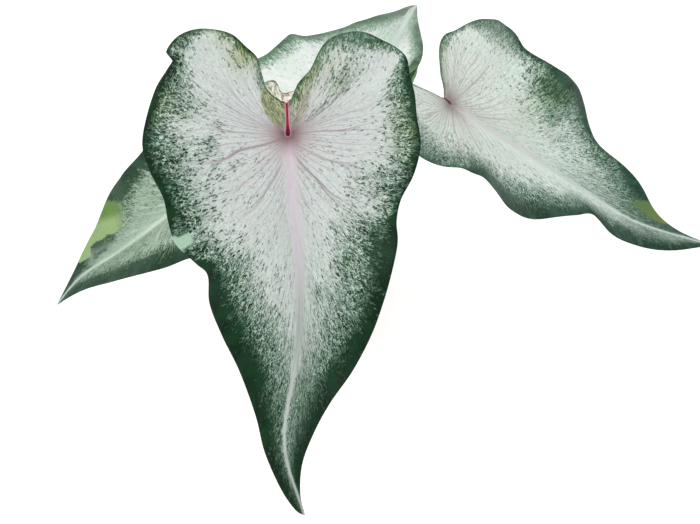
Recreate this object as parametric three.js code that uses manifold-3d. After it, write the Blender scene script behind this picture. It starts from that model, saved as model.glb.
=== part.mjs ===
// A potted caladium: four heart-shaped leaves on long leaf stalks, the tuber they grow from, the potting
// soil round it and a plain clay pot. Millimetres, +Z up, origin at the centre of the pot's underside.

import * as THREE from 'three';
import Module from 'manifold-3d';
import { mergeVertices } from 'three/addons/utils/BufferGeometryUtils.js';

const wasm = await Module();
wasm.setup();

// ---- driving dimensions ----

const CLEARANCE = 0.3; // gap between pieces that touch

const POT_HEIGHT = 128;
const POT_TOP_RADIUS = 66;
const POT_BASE_RADIUS = 45;
const POT_RIM_HEIGHT = 30;
const POT_RIM_STEP = 3.5; // how far the rim band stands out
const POT_WALL = 5;
const POT_FLOOR = 7;
const POT_SEGMENTS = 40;
const DRAIN_COUNT = 3;
const DRAIN_RADIUS = 4.5;
const DRAIN_CIRCLE = 20;

const SOIL_TOP = 113;
const SOIL_RINGS = 6;
const SOIL_SEGMENTS = 28;
const SOIL_MOUND = 4;
const SOIL_RIPPLE = 1.1;

const TUBER_RADIUS = 25;
const TUBER_HEIGHT = 30;
const CROWN_RADIUS = 16; // flat growing crown on top of the tuber
const CROWN_TOP = 96;
const TUBER_SEGMENTS = 20;

const BLADE_THICKNESS = 0.8;
const BLADE_ROWS = 45;
const BLADE_COLUMNS = [0, 0.05, 0.22, 0.48, 0.76, 1]; // steps from midrib (0) to margin (1)
const VEINS_PER_SIDE = 15;
const PUFF = 0.9; // rise of the blade between two veins
const MIDRIB_DEPTH = 1.5; // ribs stand out on the underside
const VEIN_DEPTH = 0.6;
const FOLD_ROUND = 8; // radius that softens the fold along the midrib
const HALF_WIDTH_POWER = 0.9;
const WAVE_REACH = 1.25;

const STALK_BASE_RADIUS = 4.6;
const STALK_TOP_RADIUS = 2.1;
const STALK_STEPS = 16;
const STALK_SIDES = 8;
const STALK_HOLE_GAP = 0.35;
const STALK_RISE = 0.33; // share of its length that keeps to its direction at the crown
const STALK_NECK = 0.3; // share of its length that keeps to its direction under the blade

// Each leaf's own frame has x along the midrib towards the tip, y across it and z out of the upper face,
// with the stalk joined at its origin. An edge runs from the foot of the notch round one lobe to the tip.
// Every list is [x, y]; the spine and both edges are matched by their share of the way to the tip.
// A wave is [side, height, pitch, place of a crest along the midrib]. Splay is how far a stalk leans out
// for each unit of rise as it leaves the crown, and upturn how far it turns upright before its blade.
const LEAVES = {
  front: {
    joint: [4, -188, 370],
    tip: [13, -339, 223],
    roll: -2,
    fold: 9,
    arch: 14,
    halfWidth: 75,
    crown: [0, -9],
    splay: 0.62,
    upturn: 0.2,
    waves: [[-1, 6, 92, 28], [1, 6, 84, 72]],
    spine: [
      [-17, 0], [-13, 0], [-10, 0], [-8, 0], [-5, 0], [-3, 0], [0, 0], [3, 0],
      [10, 0], [22, 0.5], [38, 1.5], [62, 3], [112, 1.5], [168, -9.3], [211, 0],
    ],
    lowEdge: [
      [-17, 0], [-21, -7], [-29, -13], [-42, -15], [-50, -22], [-57, -29.5], [-60, -40], [-60, -50],
      [-56, -59], [-48, -65], [-44, -61.5], [-38, -65], [-28, -71.5], [-12, -77], [3, -79], [17, -75],
      [32, -68], [45, -66], [57, -63], [68, -53], [75, -46.5], [90, -46], [107, -40], [127, -31.5],
      [153, -24], [174, -20], [194, -12.5], [207, -5], [211, 0],
    ],
    highEdge: [
      [-17, 0], [-20, 3], [-28, 7], [-35.5, 14], [-45, 19], [-52, 25], [-55, 34], [-55, 44],
      [-50, 54], [-45, 62], [-39, 67], [-30, 68], [-18, 70], [-6, 70.5], [6, 72], [15, 71],
      [26.5, 67], [38.5, 60], [50, 57], [61, 57], [74, 54], [92, 48.5], [111, 41], [130, 30],
      [147, 17], [163, 7.5], [181, 0], [198, -2], [211, 0],
    ],
  },
  right: {
    joint: [98.5, -92, 302],
    tip: [271, -108.5, 193],
    roll: -4,
    fold: 13,
    arch: -14,
    halfWidth: 75,
    crown: [9.5, 1],
    splay: 0.85,
    upturn: 1.5,
    waves: [[1, 6, 72, 74], [-1, 6, 92, 24]],
    spine: [
      [-5, 0], [-4, 0], [-3, 0], [-2, 0], [-1, 0], [0, 0], [3, 0], [10, 0.5],
      [22, 2], [38, 3.5], [58, 5], [82, 4.5], [112, 1.5], [152, -4], [205, 0],
    ],
    lowEdge: [
      [-5, 0], [-9, -2], [-16, -4.5], [-23, -8], [-31, -12], [-39, -17], [-46, -24], [-50, -32],
      [-51, -41], [-49, -50], [-44, -58], [-37, -64], [-28, -68], [-16, -66], [-4, -62], [8, -55],
      [17, -53.5], [25.5, -51], [34, -55], [44, -58.5], [57.5, -53.5], [73, -46.5], [89, -36], [102.5, -27],
      [117, -17], [129, -28], [147.5, -24.5], [178, -15], [205, 0],
    ],
    highEdge: [
      [-5, 0], [-7, 7], [-11, 12], [-14, 18], [-17, 25], [-18, 32], [-16, 39], [-10.5, 45],
      [-6, 51], [-1.5, 56.5], [4, 62], [12, 68.5], [22, 77.5], [33, 85], [41, 84.5], [49, 76.5],
      [60.5, 70.5], [71, 67], [81, 67], [92.5, 68.5], [101, 64], [109, 53], [118, 41.5], [131.5, 31.5],
      [146.5, 21], [161, 10], [175, 3.5], [189, 0.5], [205, 0],
    ],
  },
  left: {
    joint: [-41, -118.5, 264.5],
    tip: [-154.5, -110.5, 137],
    roll: 32,
    fold: 14,
    arch: 10,
    halfWidth: 52,
    crown: [-9.5, 1],
    splay: 0.6,
    upturn: 0.4,
    waves: [[-1, 5, 95, 40], [1, 5, 88, 80]],
    spine: [
      [-13, 0], [-10, 0], [-8, 0], [-6, 0], [-4, 0], [-2, 0], [0, 0], [3, 0],
      [9, 0], [20, 1], [38, 2], [60, 3], [92, 2.5], [132, -1.5], [171, 0],
    ],
    lowEdge: [
      [-13, 0], [-22, -8], [-33, -14], [-40, -23], [-41, -34], [-35, -43], [-20, -49], [0, -50],
      [20, -45], [39.5, -37], [61.5, -34.5], [84, -32.5], [106, -19], [135.5, -8.5], [171, 0],
    ],
    highEdge: [
      [-13, 0], [-22, 8], [-32, 15], [-38, 24], [-38, 34], [-31, 42], [-17, 47], [2, 47],
      [20, 42], [38, 36], [56, 33], [77, 27], [101.5, 18.5], [134, 7.5], [171, 0],
    ],
  },
  back: {
    joint: [35, -65, 265.5],
    tip: [84.5, 111, 202],
    roll: 0,
    fold: 12,
    arch: 12,
    halfWidth: 75,
    crown: [0, 10.5],
    splay: 0.1,
    upturn: 0.2,
    waves: [[-1, 5, 80, 96], [1, 4, 84, 40]],
    spine: [
      [-14, 0], [-11, 0], [-8, 0], [-6, 0], [-4, 0], [-2, 0], [0, 0], [4, -1],
      [12, -2], [28, -3], [50, -5], [72, -7], [104, -6], [148, -4], [197, 0],
    ],
    lowEdge: [
      [-14, 0], [-22, -7], [-33, -12], [-40, -20], [-41, -30], [-33, -38], [-17, -42], [4, -40],
      [26, -34], [47, -27], [65.5, -30.5], [86, -28.5], [118.5, -19.5], [156, -9], [197, 0],
    ],
    highEdge: [
      [-14, 0], [-19, 4], [-25, 8], [-31, 13], [-37, 20], [-42, 28], [-44, 37], [-43, 45],
      [-38, 53], [-31, 59], [-22, 64], [-12, 67], [-2, 69], [8, 68], [18, 66], [26.5, 60.5],
      [36.5, 57], [47, 55], [59, 53.5], [64, 47], [74, 42], [85, 35.5], [96, 28], [106, 23.5],
      [119, 17.5], [140, 12], [161, 7.5], [180, 4.5], [197, 0],
    ],
  },
};

// ---- materials ----

const clay = new THREE.MeshStandardMaterial({ color: 0xb5694a, roughness: 0.9, metalness: 0 });
const earth = new THREE.MeshStandardMaterial({ color: 0x35261c, roughness: 1, metalness: 0 });
const cork = new THREE.MeshStandardMaterial({ color: 0x6b4a33, roughness: 0.9, metalness: 0 });
const bladeGreen = new THREE.MeshStandardMaterial({ color: 0xc4d6c8, roughness: 0.5, metalness: 0 });
const stalkGreen = new THREE.MeshStandardMaterial({ color: 0x7d8a5c, roughness: 0.55, metalness: 0 });

// ---- solids from triangles ----

function radians(degrees) {
  return (degrees * Math.PI) / 180;
}

function indexedGeometry(positions, triangles) {
  const geometry = new THREE.BufferGeometry();
  geometry.setAttribute('position', new THREE.Float32BufferAttribute(positions, 3));
  geometry.setIndex(triangles);
  return geometry;
}

function toManifold(geometry) {
  const bare = geometry.clone();
  bare.deleteAttribute('normal');
  bare.deleteAttribute('uv');
  const merged = mergeVertices(bare, 1e-4);
  return new wasm.Manifold(new wasm.Mesh({
    numProp: 3,
    vertProperties: new Float32Array(merged.attributes.position.array),
    triVerts: new Uint32Array(merged.index.array),
  }));
}

function fromManifold(solid) {
  const mesh = solid.getMesh();
  return indexedGeometry(Array.from(mesh.vertProperties), Array.from(mesh.triVerts));
}

// Profile points are [radius, height], from the axis at the bottom round to the axis at the top.
function turned(profile, segments) {
  const points = profile.map(([radius, height]) => new THREE.Vector2(radius, height));
  return new THREE.LatheGeometry(points, segments).rotateX(Math.PI / 2);
}

function namedMesh(name, geometry, material) {
  const mesh = new THREE.Mesh(geometry, material);
  mesh.name = name;
  return mesh;
}

// ---- leaf blades ----

function smoothCurve(points) {
  const corners = points.map(([x, y]) => new THREE.Vector3(x, y, 0));
  return new THREE.CatmullRomCurve3(corners, false, 'catmullrom', 0.5);
}

// How far the midrib has wandered sideways at a place along it.
function midribAcross(spine, x) {
  for (let i = 1; i < spine.length; i += 1) {
    const [x0, y0] = spine[i - 1];
    const [x1, y1] = spine[i];
    if (x <= x1) {
      return y0 + ((y1 - y0) * Math.max(x - x0, 0)) / (x1 - x0);
    }
  }
  return 0;
}

// Height of the upper face over the leaf's own plane: a V fold, an arch from stalk to tip and edge waves.
function faceHeight(leaf, x, y) {
  const length = leaf.spine.at(-1)[0];
  const along = x / length;
  const across = Math.abs(y - midribAcross(leaf.spine, x));
  const narrowing = THREE.MathUtils.clamp(1 - along, 0.06, 1) ** HALF_WIDTH_POWER;
  const reach = Math.min(across / (leaf.halfWidth * narrowing), WAVE_REACH);
  let height = Math.tan(radians(leaf.fold)) * (Math.hypot(across, FOLD_ROUND) - FOLD_ROUND);
  height += 4 * leaf.arch * along * (1 - along);
  for (const [side, size, pitch, crest] of leaf.waves) {
    if (y * side > 0) {
      height += size * Math.sqrt(narrowing) * reach ** 2 * Math.cos((2 * Math.PI * (x - crest)) / pitch);
    }
  }
  return height;
}

function bladeGeometry(leaf) {
  const spine = smoothCurve(leaf.spine);
  const edges = { low: smoothCurve(leaf.lowEdge), high: smoothCurve(leaf.highEdge) };
  const lastColumn = BLADE_COLUMNS.length - 1;
  const positions = [];
  const vertexOf = new Map();

  function vertex(row, column, face) {
    const single = row === 0 || row === BLADE_ROWS;
    const key = `${face} ${row} ${single ? 0 : column}`;
    if (!vertexOf.has(key)) {
      const share = row / BLADE_ROWS;
      const out = single ? 0 : BLADE_COLUMNS[Math.abs(column)];
      const edge = column < 0 ? edges.low : edges.high;
      const place = spine.getPoint(share).lerp(edge.getPoint(share), out);
      const between = Math.sin(Math.PI * VEINS_PER_SIDE * share) ** 2;
      const puff = PUFF * between * Math.sqrt(4 * out * (1 - out));
      const rib = out === 0 ? MIDRIB_DEPTH * (1 - 0.8 * share) : VEIN_DEPTH * (1 - between) * (1 - out);
      const top = faceHeight(leaf, place.x, place.y) + puff;
      const height = face === 'top' ? top : top - BLADE_THICKNESS - rib;
      vertexOf.set(key, positions.length / 3);
      positions.push(place.x, place.y, height);
    }
    return vertexOf.get(key);
  }

  const triangles = [];
  function addTriangle(a, b, c) {
    if (a !== b && b !== c && c !== a) {
      triangles.push(a, b, c);
    }
  }
  function addQuad(a, b, c, d) {
    addTriangle(a, b, c);
    addTriangle(a, c, d);
  }

  for (let row = 0; row < BLADE_ROWS; row += 1) {
    for (let column = -lastColumn; column < lastColumn; column += 1) {
      for (const face of ['top', 'bottom']) {
        const a = vertex(row, column, face);
        const b = vertex(row + 1, column, face);
        const c = vertex(row + 1, column + 1, face);
        const d = vertex(row, column + 1, face);
        if (face === 'top') {
          addQuad(a, b, c, d);
        } else {
          addTriangle(a, c, b);
          addTriangle(a, d, c);
        }
      }
    }
    for (const side of [1, -1]) {
      const near = side > 0 ? row : row + 1;
      const far = side > 0 ? row + 1 : row;
      const edge = side * lastColumn;
      addQuad(
        vertex(near, edge, 'top'),
        vertex(far, edge, 'top'),
        vertex(far, edge, 'bottom'),
        vertex(near, edge, 'bottom'),
      );
    }
  }
  return indexedGeometry(positions, triangles);
}

// The leaf's frame in the plant: its plane holds the joint and the tip, level across unless rolled.
function leafFrame(leaf) {
  const joint = new THREE.Vector3(...leaf.joint);
  const along = new THREE.Vector3(...leaf.tip).sub(joint).normalize();
  const up = new THREE.Vector3(0, 0, 1).projectOnPlane(along).normalize();
  const face = up.applyAxisAngle(along, -radians(leaf.roll));
  const across = new THREE.Vector3().crossVectors(face, along);
  return new THREE.Matrix4().makeBasis(along, across, face).setPosition(joint);
}

// ---- leaf stalks ----

const UP = new THREE.Vector3(0, 0, 1);

// The stalk's curve, with the flat faces that it stands on and ends under.
function stalkRoute(leaf) {
  const slope = (4 * leaf.arch) / leaf.spine.at(-1)[0];
  const face = new THREE.Vector3(-slope, 0, 1).normalize().transformDirection(leafFrame(leaf));
  const under = BLADE_THICKNESS + MIDRIB_DEPTH + CLEARANCE;
  const end = new THREE.Vector3(...leaf.joint).addScaledVector(face, -under);
  const start = new THREE.Vector3(leaf.crown[0], leaf.crown[1], CROWN_TOP + CLEARANCE);
  const span = start.distanceTo(end);
  const outward = end.clone().sub(start).setZ(0).normalize();
  const leaving = UP.clone().addScaledVector(outward, leaf.splay).normalize();
  const arriving = face.clone().addScaledVector(UP, leaf.upturn).normalize();
  const low = start.clone().addScaledVector(leaving, STALK_RISE * span);
  const high = end.clone().addScaledVector(arriving, -STALK_NECK * span);
  return { path: new THREE.CubicBezierCurve3(start, low, high, end), face };
}

function stalkRadius(share) {
  const sheath = 1.4 * Math.exp(-14 * share);
  return THREE.MathUtils.lerp(STALK_BASE_RADIUS - 1.4, STALK_TOP_RADIUS, share) + sheath;
}

// A tapering tube along the route, cut level at the crown and flush with the blade; extra widens it all
// round and at its ends.
function stalkGeometry({ path, face }, extra = 0) {
  const frames = path.computeFrenetFrames(STALK_STEPS, false);
  const positions = [];
  const triangles = [];
  for (let step = 0; step <= STALK_STEPS; step += 1) {
    const share = step / STALK_STEPS;
    const centre = path.getPointAt(share);
    const tangent = frames.tangents[step];
    const radius = stalkRadius(share) + extra;
    for (let side = 0; side < STALK_SIDES; side += 1) {
      const turn = (2 * Math.PI * side) / STALK_SIDES;
      const point = centre.clone()
        .addScaledVector(frames.normals[step], radius * Math.cos(turn))
        .addScaledVector(frames.binormals[step], radius * Math.sin(turn));
      if (step === 0 || step === STALK_STEPS) {
        const cut = step === 0 ? UP : face;
        const run = centre.clone().sub(point).dot(cut) / tangent.dot(cut);
        point.addScaledVector(tangent, run + extra * (step === 0 ? -1 : 1));
      }
      positions.push(point.x, point.y, point.z);
    }
  }
  for (let step = 0; step < STALK_STEPS; step += 1) {
    for (let side = 0; side < STALK_SIDES; side += 1) {
      const next = (side + 1) % STALK_SIDES;
      const low = step * STALK_SIDES;
      const high = low + STALK_SIDES;
      triangles.push(low + side, low + next, high + next);
      triangles.push(low + side, high + next, high + side);
    }
  }
  const lastRing = STALK_STEPS * STALK_SIDES;
  for (let side = 1; side < STALK_SIDES - 1; side += 1) {
    triangles.push(0, side + 1, side);
    triangles.push(lastRing, lastRing + side, lastRing + side + 1);
  }
  return indexedGeometry(positions, triangles);
}

// ---- tuber, soil and pot ----

function tuberGeometry(extra = 0) {
  const middle = CROWN_TOP - TUBER_HEIGHT / 2;
  const half = TUBER_HEIGHT / 2 + extra;
  const radius = TUBER_RADIUS + extra;
  const profile = [[0, middle - half]];
  for (const degrees of [-60, -35, -10, 15, 40]) {
    const angle = radians(degrees);
    profile.push([radius * Math.cos(angle), middle + half * Math.sin(angle)]);
  }
  profile.push([CROWN_RADIUS + extra, CROWN_TOP + extra]);
  profile.push([0, CROWN_TOP + extra]);
  return turned(profile, TUBER_SEGMENTS);
}

function potInnerRadius(height) {
  const outer = THREE.MathUtils.lerp(POT_BASE_RADIUS, POT_TOP_RADIUS - POT_RIM_STEP, height / POT_HEIGHT);
  return outer - POT_WALL;
}

function potGeometry() {
  const rimBottom = POT_HEIGHT - POT_RIM_HEIGHT;
  const wall = (height) => potInnerRadius(height) + POT_WALL;
  const profile = [
    [0, 0],
    [POT_BASE_RADIUS - 1.5, 0],
    [POT_BASE_RADIUS, 1.5],
    [wall(rimBottom - 1.5), rimBottom - 1.5],
    [wall(rimBottom) + POT_RIM_STEP - 1.5, rimBottom],
    [wall(rimBottom) + POT_RIM_STEP, rimBottom + 1.5],
    [POT_TOP_RADIUS, POT_HEIGHT - 2],
    [POT_TOP_RADIUS - 1.5, POT_HEIGHT],
    [potInnerRadius(POT_HEIGHT) + 1.5, POT_HEIGHT],
    [potInnerRadius(POT_HEIGHT), POT_HEIGHT - 2],
    [potInnerRadius(POT_FLOOR + 4), POT_FLOOR + 4],
    [potInnerRadius(POT_FLOOR) - 4, POT_FLOOR],
    [0, POT_FLOOR],
  ];
  let pot = toManifold(turned(profile, POT_SEGMENTS));
  for (let hole = 0; hole < DRAIN_COUNT; hole += 1) {
    const turn = (2 * Math.PI * hole) / DRAIN_COUNT;
    const drill = new THREE.CylinderGeometry(DRAIN_RADIUS, DRAIN_RADIUS, 3 * POT_FLOOR, 12);
    drill.rotateX(Math.PI / 2);
    drill.translate(DRAIN_CIRCLE * Math.cos(turn), DRAIN_CIRCLE * Math.sin(turn), POT_FLOOR / 2);
    pot = pot.subtract(toManifold(drill));
  }
  return fromManifold(pot);
}

// Height of the soil's surface: a low mound, rippled by finger marks and watering.
function soilSurface(x, y) {
  const radius = Math.hypot(x, y) / POT_TOP_RADIUS;
  const ripple = Math.sin(x / 7 + 1.3) * Math.cos(y / 6.1) + 0.5 * Math.sin((x + 2 * y) / 8.7);
  return SOIL_TOP - SOIL_MOUND * radius ** 2 + SOIL_RIPPLE * ripple;
}

function soilGeometry(routes) {
  const bottom = POT_FLOOR + CLEARANCE;
  const wall = (height) => potInnerRadius(height) - CLEARANCE;
  const positions = [0, 0, bottom, 0, 0, soilSurface(0, 0)];
  const triangles = [];
  const rings = [
    [wall(POT_FLOOR) - 4, () => bottom],
    [wall(POT_FLOOR + 4) - 0.3, () => POT_FLOOR + 4.3],
  ];
  const edgeRadius = wall(SOIL_TOP - SOIL_MOUND) - 0.4;
  for (let ring = SOIL_RINGS; ring > 0; ring -= 1) {
    rings.push([(edgeRadius * ring) / SOIL_RINGS, soilSurface]);
  }
  rings.forEach(([radius, heightAt], ring) => {
    for (let side = 0; side < SOIL_SEGMENTS; side += 1) {
      const turn = (2 * Math.PI * side) / SOIL_SEGMENTS;
      const x = radius * Math.cos(turn);
      const y = radius * Math.sin(turn);
      positions.push(x, y, heightAt(x, y));
      const here = 2 + ring * SOIL_SEGMENTS + side;
      const next = 2 + ring * SOIL_SEGMENTS + ((side + 1) % SOIL_SEGMENTS);
      if (ring === 0) {
        triangles.push(0, next, here);
      } else {
        triangles.push(here - SOIL_SEGMENTS, next - SOIL_SEGMENTS, next);
        triangles.push(here - SOIL_SEGMENTS, next, here);
      }
      if (ring === rings.length - 1) {
        triangles.push(1, here, next);
      }
    }
  });
  let soil = toManifold(indexedGeometry(positions, triangles)).subtract(toManifold(tuberGeometry(CLEARANCE)));
  for (const route of routes) {
    soil = soil.subtract(toManifold(stalkGeometry(route, STALK_HOLE_GAP)));
  }
  return fromManifold(soil);
}

// ---- the plant ----

const caladium = new THREE.Group();
const routes = [];
for (const [name, leaf] of Object.entries(LEAVES)) {
  const place = new THREE.Group();
  leafFrame(leaf).decompose(place.position, place.quaternion, place.scale);
  place.add(namedMesh(`leaf_${name}`, bladeGeometry(leaf), bladeGreen.clone()));
  caladium.add(place);

  const route = stalkRoute(leaf);
  routes.push(route);
  caladium.add(namedMesh(`petiole_${name}`, stalkGeometry(route), stalkGreen.clone()));
}
caladium.add(namedMesh('tuber', tuberGeometry(), cork));
caladium.add(namedMesh('soil', soilGeometry(routes), earth));
caladium.add(namedMesh('pot', potGeometry(), clay));

export default caladium;
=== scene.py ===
"""Looks of a potted caladium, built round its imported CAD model.

Outlines and sizes are written in millimetres and turned into metres as each mesh is made. Each leaf has its
own frame, with x along the midrib towards the tip, y across it and z out of the upper face, and the stalk
joined at its origin.
"""

import math
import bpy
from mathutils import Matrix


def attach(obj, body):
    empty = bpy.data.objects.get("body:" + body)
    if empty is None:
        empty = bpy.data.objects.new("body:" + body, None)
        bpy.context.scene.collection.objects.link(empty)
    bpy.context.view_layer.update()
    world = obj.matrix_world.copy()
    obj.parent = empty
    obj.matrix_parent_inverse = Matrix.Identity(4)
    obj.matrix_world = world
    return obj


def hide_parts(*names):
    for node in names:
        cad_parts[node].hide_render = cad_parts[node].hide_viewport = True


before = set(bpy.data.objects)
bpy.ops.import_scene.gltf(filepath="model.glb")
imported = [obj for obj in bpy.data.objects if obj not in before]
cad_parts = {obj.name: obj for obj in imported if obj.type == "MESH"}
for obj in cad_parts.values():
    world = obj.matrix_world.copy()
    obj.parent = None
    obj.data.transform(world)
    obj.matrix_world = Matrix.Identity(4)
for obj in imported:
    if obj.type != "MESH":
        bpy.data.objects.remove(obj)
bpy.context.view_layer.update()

from types import SimpleNamespace

import bmesh
import bpy
import numpy as np
from mathutils import Matrix, Vector, noise

MM = 0.001
rng = np.random.default_rng(7)

# ---- driving dimensions, in millimetres ----

GAP = 0.3

# How many points each smooth line is followed by.
ROW_POINTS = 1500
OUTLINE_POINTS = 300
MIDRIB_POINTS = 90
STALK_POINTS = 600
HEM_POINTS = 400

BLADE_THICKNESS = 0.7
RIM_ROUND = 0.25
VEINS_PER_SIDE = 15
VEIN_SHIFT = 0.15
VEIN_SWAY = 0.24
VEIN_QUIVER = 0.07
PUFF = 0.6
GROOVE_DEPTH = 0.2
GROOVE_WIDTH = 1.2
MIDRIB_DEPTH = 1.5
MIDRIB_WIDTH = 1.6
VEIN_DEPTH = 0.6
VEIN_WIDTH = 0.13
FOLD_ROUND = 8
HALF_WIDTH_POWER = 0.9
EDGE_THINNING = 0.35
RELIEF_START = 25
MIDRIB_WEIGHT = 0.8
GAUGE_SHARE = 0.65
YOUNG_COVER = 0.65
WAVE_REACH = 1.25
COLUMN_POWER = 1.3
BAND_RISE = 3
BAND_EXTRA = 0.35
SECTOR_START = 12
MARK_EDGE = 0.3
FADE_POWER = 1.25
WEDGE_EDGE = 1.3
LOOSE_COVER = 0.95
DENSEST = 1.02
FIRST_VEIN = 0.1
START_POWER = 7
VEIN_BEND = 0.27
BEND_REACH = 70

STALK_STEPS = 72
STALK_SIDES = 20
CROWN_TOP = 96.3
STALK_BASE_RADIUS = 3.2
STALK_TOP_RADIUS = 2.1
STALK_SHEATH = 1.4
STALK_END = 2.6
STALK_RISE = 0.33
STALK_NECK = 0.3
STALK_FLARE = 0.9
STALK_FLARE_RUN = 2.5
STREAK_RADIUS = 3

SKIN_COLUMNS = 60
SKIN_ROWS = 12
SKIN_THICKNESS = 0.3
RAG_FOOT = [(-26.5, -14.5), (-23, -12), (-20, -9), (-17.5, -6), (-15, -2), (-15.5, 2), (-18.5, 5), (-23, 7.5)]
RAG_BRIM = [
    (-28.6, -13.3), (-29.9, -9.9), (-30.1, -6.6), (-28, -4.7), (-24.6, -3.5), (-22.8, -1.3), (-23.3, 2), (-24.5, 5.9),
]
RAG_DEPTH = 1.3
BRIM_DEPTH = 0.4
# Where the back leaf's margin turns down under its cup: [place along the midrib, reach outwards, drop].
HEM = [(24, 0, 0.2), (36, 4, 3), (47, 5.5, 3.1), (56, 3.6, 3.1), (65.5, 0.6, 2.5), (72, 0, 0.2)]
HEM_OVERLAP = 0.8
HEM_DEPTH = 0.35

TUBER_RADIUS = 25
TUBER_HEIGHT = 30
CROWN_RADIUS = 16
CROWN_DROP = 0.4
TUBER_SEGMENTS = 72

POT_HEIGHT = 128
POT_TOP_RADIUS = 66
POT_BASE_RADIUS = 45
POT_RIM_HEIGHT = 30
POT_RIM_STEP = 3.5
POT_WALL = 5
POT_FLOOR = 7
POT_ROUND = 2.2
POT_SEGMENTS = 180
POT_WANDER = 0.12
POT_STEP = 1.6
DRAIN_COUNT = 3
DRAIN_RADIUS = 4.5
DRAIN_CIRCLE = 20
DRAIN_SEGMENTS = 32

SOIL_TOP = 113
SOIL_MOUND = 4
SOIL_RIPPLE = 1.1
SOIL_CRUMB = 0.9
SOIL_RINGS = 90
SOIL_SEGMENTS = 220
SOIL_STEP = 5
SOIL_BEVEL = 4
SOIL_GAP = 0.7
STALK_ROOM = 5
WALL_ROOM = 4
GRAIN_BUMP = 0.28
GRAIN_LIFT = 0.35

# Loose grains on the soil: [piece, material, how many, sizes, height over width, dark and light, roughness].
GRAINS = [
    ("soil_crumbs", "crumbs", 420, (0.8, 2.4), 0.7, (36, 24, 17), (98, 72, 54), 0.95),
    ("bark_chips", "bark", 46, (2.0, 4.2), 0.28, (62, 38, 24), (128, 88, 58), 0.95),
    ("perlite", "perlite", 70, (0.8, 1.9), 0.8, (196, 192, 184), (238, 236, 230), 0.8),
]

# The camera looks down on the plant, and the floor glows a little, as a light table does, so that shadows on it
# stay faint. Places and the lamp's size are in metres.
CAMERA_PLACE = (0.0381, -1.0098, 1.1776)
CAMERA_ELEVATION = 48
CAMERA_LENS = 107.64
SENSOR_WIDTH = 36
FLOOR_REACH = 6000
FLOOR_GLOW = 0.6
SKY_STRENGTH = 0.85
LAMP_PLACE = (-0.9, -0.9, 1.9)
LAMP_TARGET = (0, -0.1, 0.25)
LAMP_SIZE = 1.4
LAMP_POWER = 14

# Leaves of one plant differ in tone; each row gives the front, right, left and back leaf. The tones are their
# palest middle, ground, brightest net, the net among dense green, the haze of small green cells, loose flecks, the
# two greens of the margin, veins, midrib near the stalk and near the tip, the line from the stalk to the notch,
# tissue that is still young and the two ends of a blotch. On the back leaf the blotch is painted shade in the
# curled cup at its margin: dark green in the hollow, paler towards the rim.
# The back leaf's tones, the last in each row, are painted paler, up to pure white in its middle, as painted light
# that makes up for the shade the front leaf casts on it.
TONES = {
    "centre": [(192, 194, 195), (216, 222, 213), (140, 158, 138), (255, 255, 255)],
    "ground": [(168, 182, 173), (197, 214, 200), (124, 146, 120), (194, 217, 199)],
    "pale": [(210, 219, 213), (236, 248, 241), (182, 202, 184), (234, 246, 238)],
    "mint": [(168, 196, 175), (168, 199, 178), (148, 176, 152), (186, 212, 190)],
    "haze": [(50, 88, 63), (80, 116, 94), (66, 98, 72), (140, 174, 150)],
    "fleck": [(104, 136, 114), (124, 152, 132), (92, 122, 92), (176, 202, 184)],
    "deep": [(2, 33, 13), (26, 58, 40), (26, 56, 36), (70, 100, 78)],
    "band": [(12, 52, 27), (52, 86, 70), (48, 76, 58), (104, 136, 112)],
    "vein": [(138, 120, 128), (168, 164, 152), (218, 232, 221), (228, 238, 231)],
    "rib": [(213, 203, 211), (226, 226, 223), (210, 226, 213), (238, 246, 241)],
    "far_rib": [(150, 161, 154), (196, 212, 202), (196, 218, 202), (224, 239, 230)],
    "notch_line": [(146, 16, 52), (92, 82, 60), (120, 60, 60), (150, 80, 90)],
    "young_pale": [(166, 170, 120), (160, 178, 136), (174, 192, 140), (214, 228, 200)],
    "young_green": [(72, 96, 40), (66, 94, 46), (90, 118, 66), (150, 180, 140)],
    "blotch": [(164, 194, 170), (92, 124, 76), (96, 132, 64), (58, 88, 56)],
    "blotch_end": [(168, 198, 174), (116, 130, 72), (146, 172, 117), (108, 142, 94)],
}
# "soft" is how gradually a cell turns from ground to green, "rib_width" the midrib's at the stalk and the tip,
# "flush" how pink the joint is, "white_side" how white the blade is beside the midrib on the low side, "fan" how
# far out veins show and how strong the thin ones between them are, and "frost" how much of the ground is pale.
TRAITS = {
    "soft": [0.13, 0.22, 0.15, 0.6],
    "rib_width": [(3.4, 0.9), (1.9, 0.8), (1.7, 0.55), (2.5, 1.2)],
    "flush": [0.5, 0.3, 0.1, 0.1],
    "white_side": [0.0, 0.9, 0.6, 0.0],
    "fan": [(0.45, 0.65), (0.6, 0.9), (0.9, 0.7), (0.6, 0.3)],
    "frost": [1.0, 1.0, 0.3, 1.0],
}
MIDRIB_LINE = (226, 234, 230)
JOINT_PINK = (190, 160, 167)
JOINT_BROWN = (108, 78, 80)
NOTCH_PINK = (202, 150, 168)
DARK_CRIMSON = (84, 2, 38)
UNDER_GREEN = (140, 162, 140)
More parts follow.
